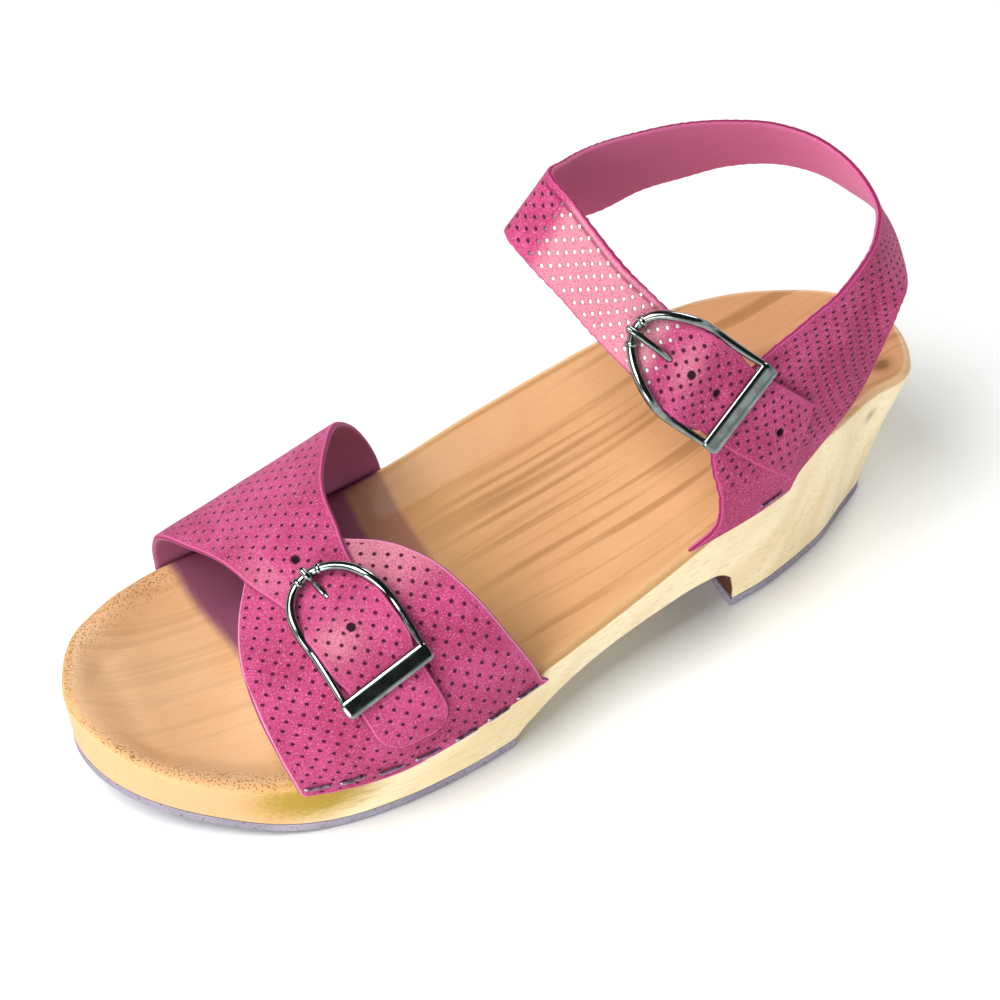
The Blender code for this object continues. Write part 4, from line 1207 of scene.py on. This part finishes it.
def make_staples():
    """The crowns along the vamp's edge, by their x and place round the foot, and the quarter's."""
    for number, (x, degrees) in enumerate(STAPLES, start=1):
        line = vamp(x + STAPLE_REACH, degrees, LEATHER + STAPLE_RISE)
        out = vamp(x, degrees, 3.0) - line[3]
        make_staple(f"vamp_staple_wire_{number}", f"vamp_staple_{number}", line, out)
    across = QUARTER_STAPLE_ACROSS + STAPLE_REACH / QUARTER_HALF_WIDTH
    line = ankle(QUARTER_STAPLE_AT, across, LEATHER / 2 + STAPLE_RISE)
    low, high = (ankle(QUARTER_STAPLE_AT, QUARTER_STAPLE_ACROSS, height) for height in (0.0, 3.0))
    make_staple("quarter_staple_wire", "quarter_staple", line, high - low)


make_staples()

# %% [markdown]
# ## Floor and studio light
#
# The room is plain: a pale floor without an edge in view, one large soft lamp over the toe's side, a weaker
# one from behind the camera, one behind the heel, and a dim sky. Dim surroundings are what polished nickel
# needs, because it shows nothing else.

# %% Floor and lamps
FLOOR_HALF, FLOOR_HEIGHT = 6.0, -0.0003
CEILING_LOW, CEILING_HIGH = 0.15, 0.38
LAMPS = (
    ("key_lamp", (0.6, 0.05, 1.0), 1.3, 0.9, 20.0), ("fill_lamp", (1.0, 1.0, 0.35), 1.6, 0.8, 13.0),
    ("back_lamp", (-0.9, -0.5, 0.7), 1.5, 0.7, 10.0),
)


def stage(name, data):
    """Adds a floor or a lamp, which belongs to the studio."""
    made = bpy.data.objects.new(name, data)
    bpy.context.scene.collection.objects.link(made)
    return made


def make_floor():
    """A pale matt floor, far wider than the view."""
    p = new_paint("pale_floor", Roughness=0.9, Specular_IOR_Level=0.1)
    mesh = bpy.data.meshes.new("floor")
    wide = FLOOR_HALF
    corners = [(x, y, FLOOR_HEIGHT) for x, y in ((-wide, -wide), (wide, -wide), (wide, wide), (-wide, wide))]
    mesh.from_pydata(corners, [], [(0, 1, 2, 3)])
    mesh.materials.append(p.finish(Base_Color=p.coats("#FAFAF9", (p.noise(p.place(), 3.0, 2.0), "#F6F8F8"))))
    stage("floor", mesh)


def make_lamps():
    """Square soft lamps that look at the shoe, each by its direction, distance, size and watts."""
    for name, direction, distance, size, watts in LAMPS:
        lamp = bpy.data.lights.new(name, "AREA")
        lamp.size, lamp.energy = size, watts
        way = Vector(direction).normalized()
        stage(name, lamp).matrix_world = looking(TARGET + way * distance, -way, Vector((0, 1, 0)))


def make_sky():
    """A pale sky at the horizon that turns dark overhead, by the height of each direction."""
    world = bpy.data.worlds.new("studio")
    bpy.context.scene.world = world
    p = Paint(world, Strength=1.0)
    height = p.add("SeparateXYZ", {"Vector": p.add("TexCoord").outputs["Generated"]}).outputs["Z"]
    p.finish(Color=p.coats("#F4FAFB", (p.ramp(height, CEILING_LOW, CEILING_HIGH), "#2A3330")))


make_floor()
make_lamps()
make_sky()
bpy.context.scene.view_settings.view_transform = "Standard"
print("pieces made:", len(PIECES))
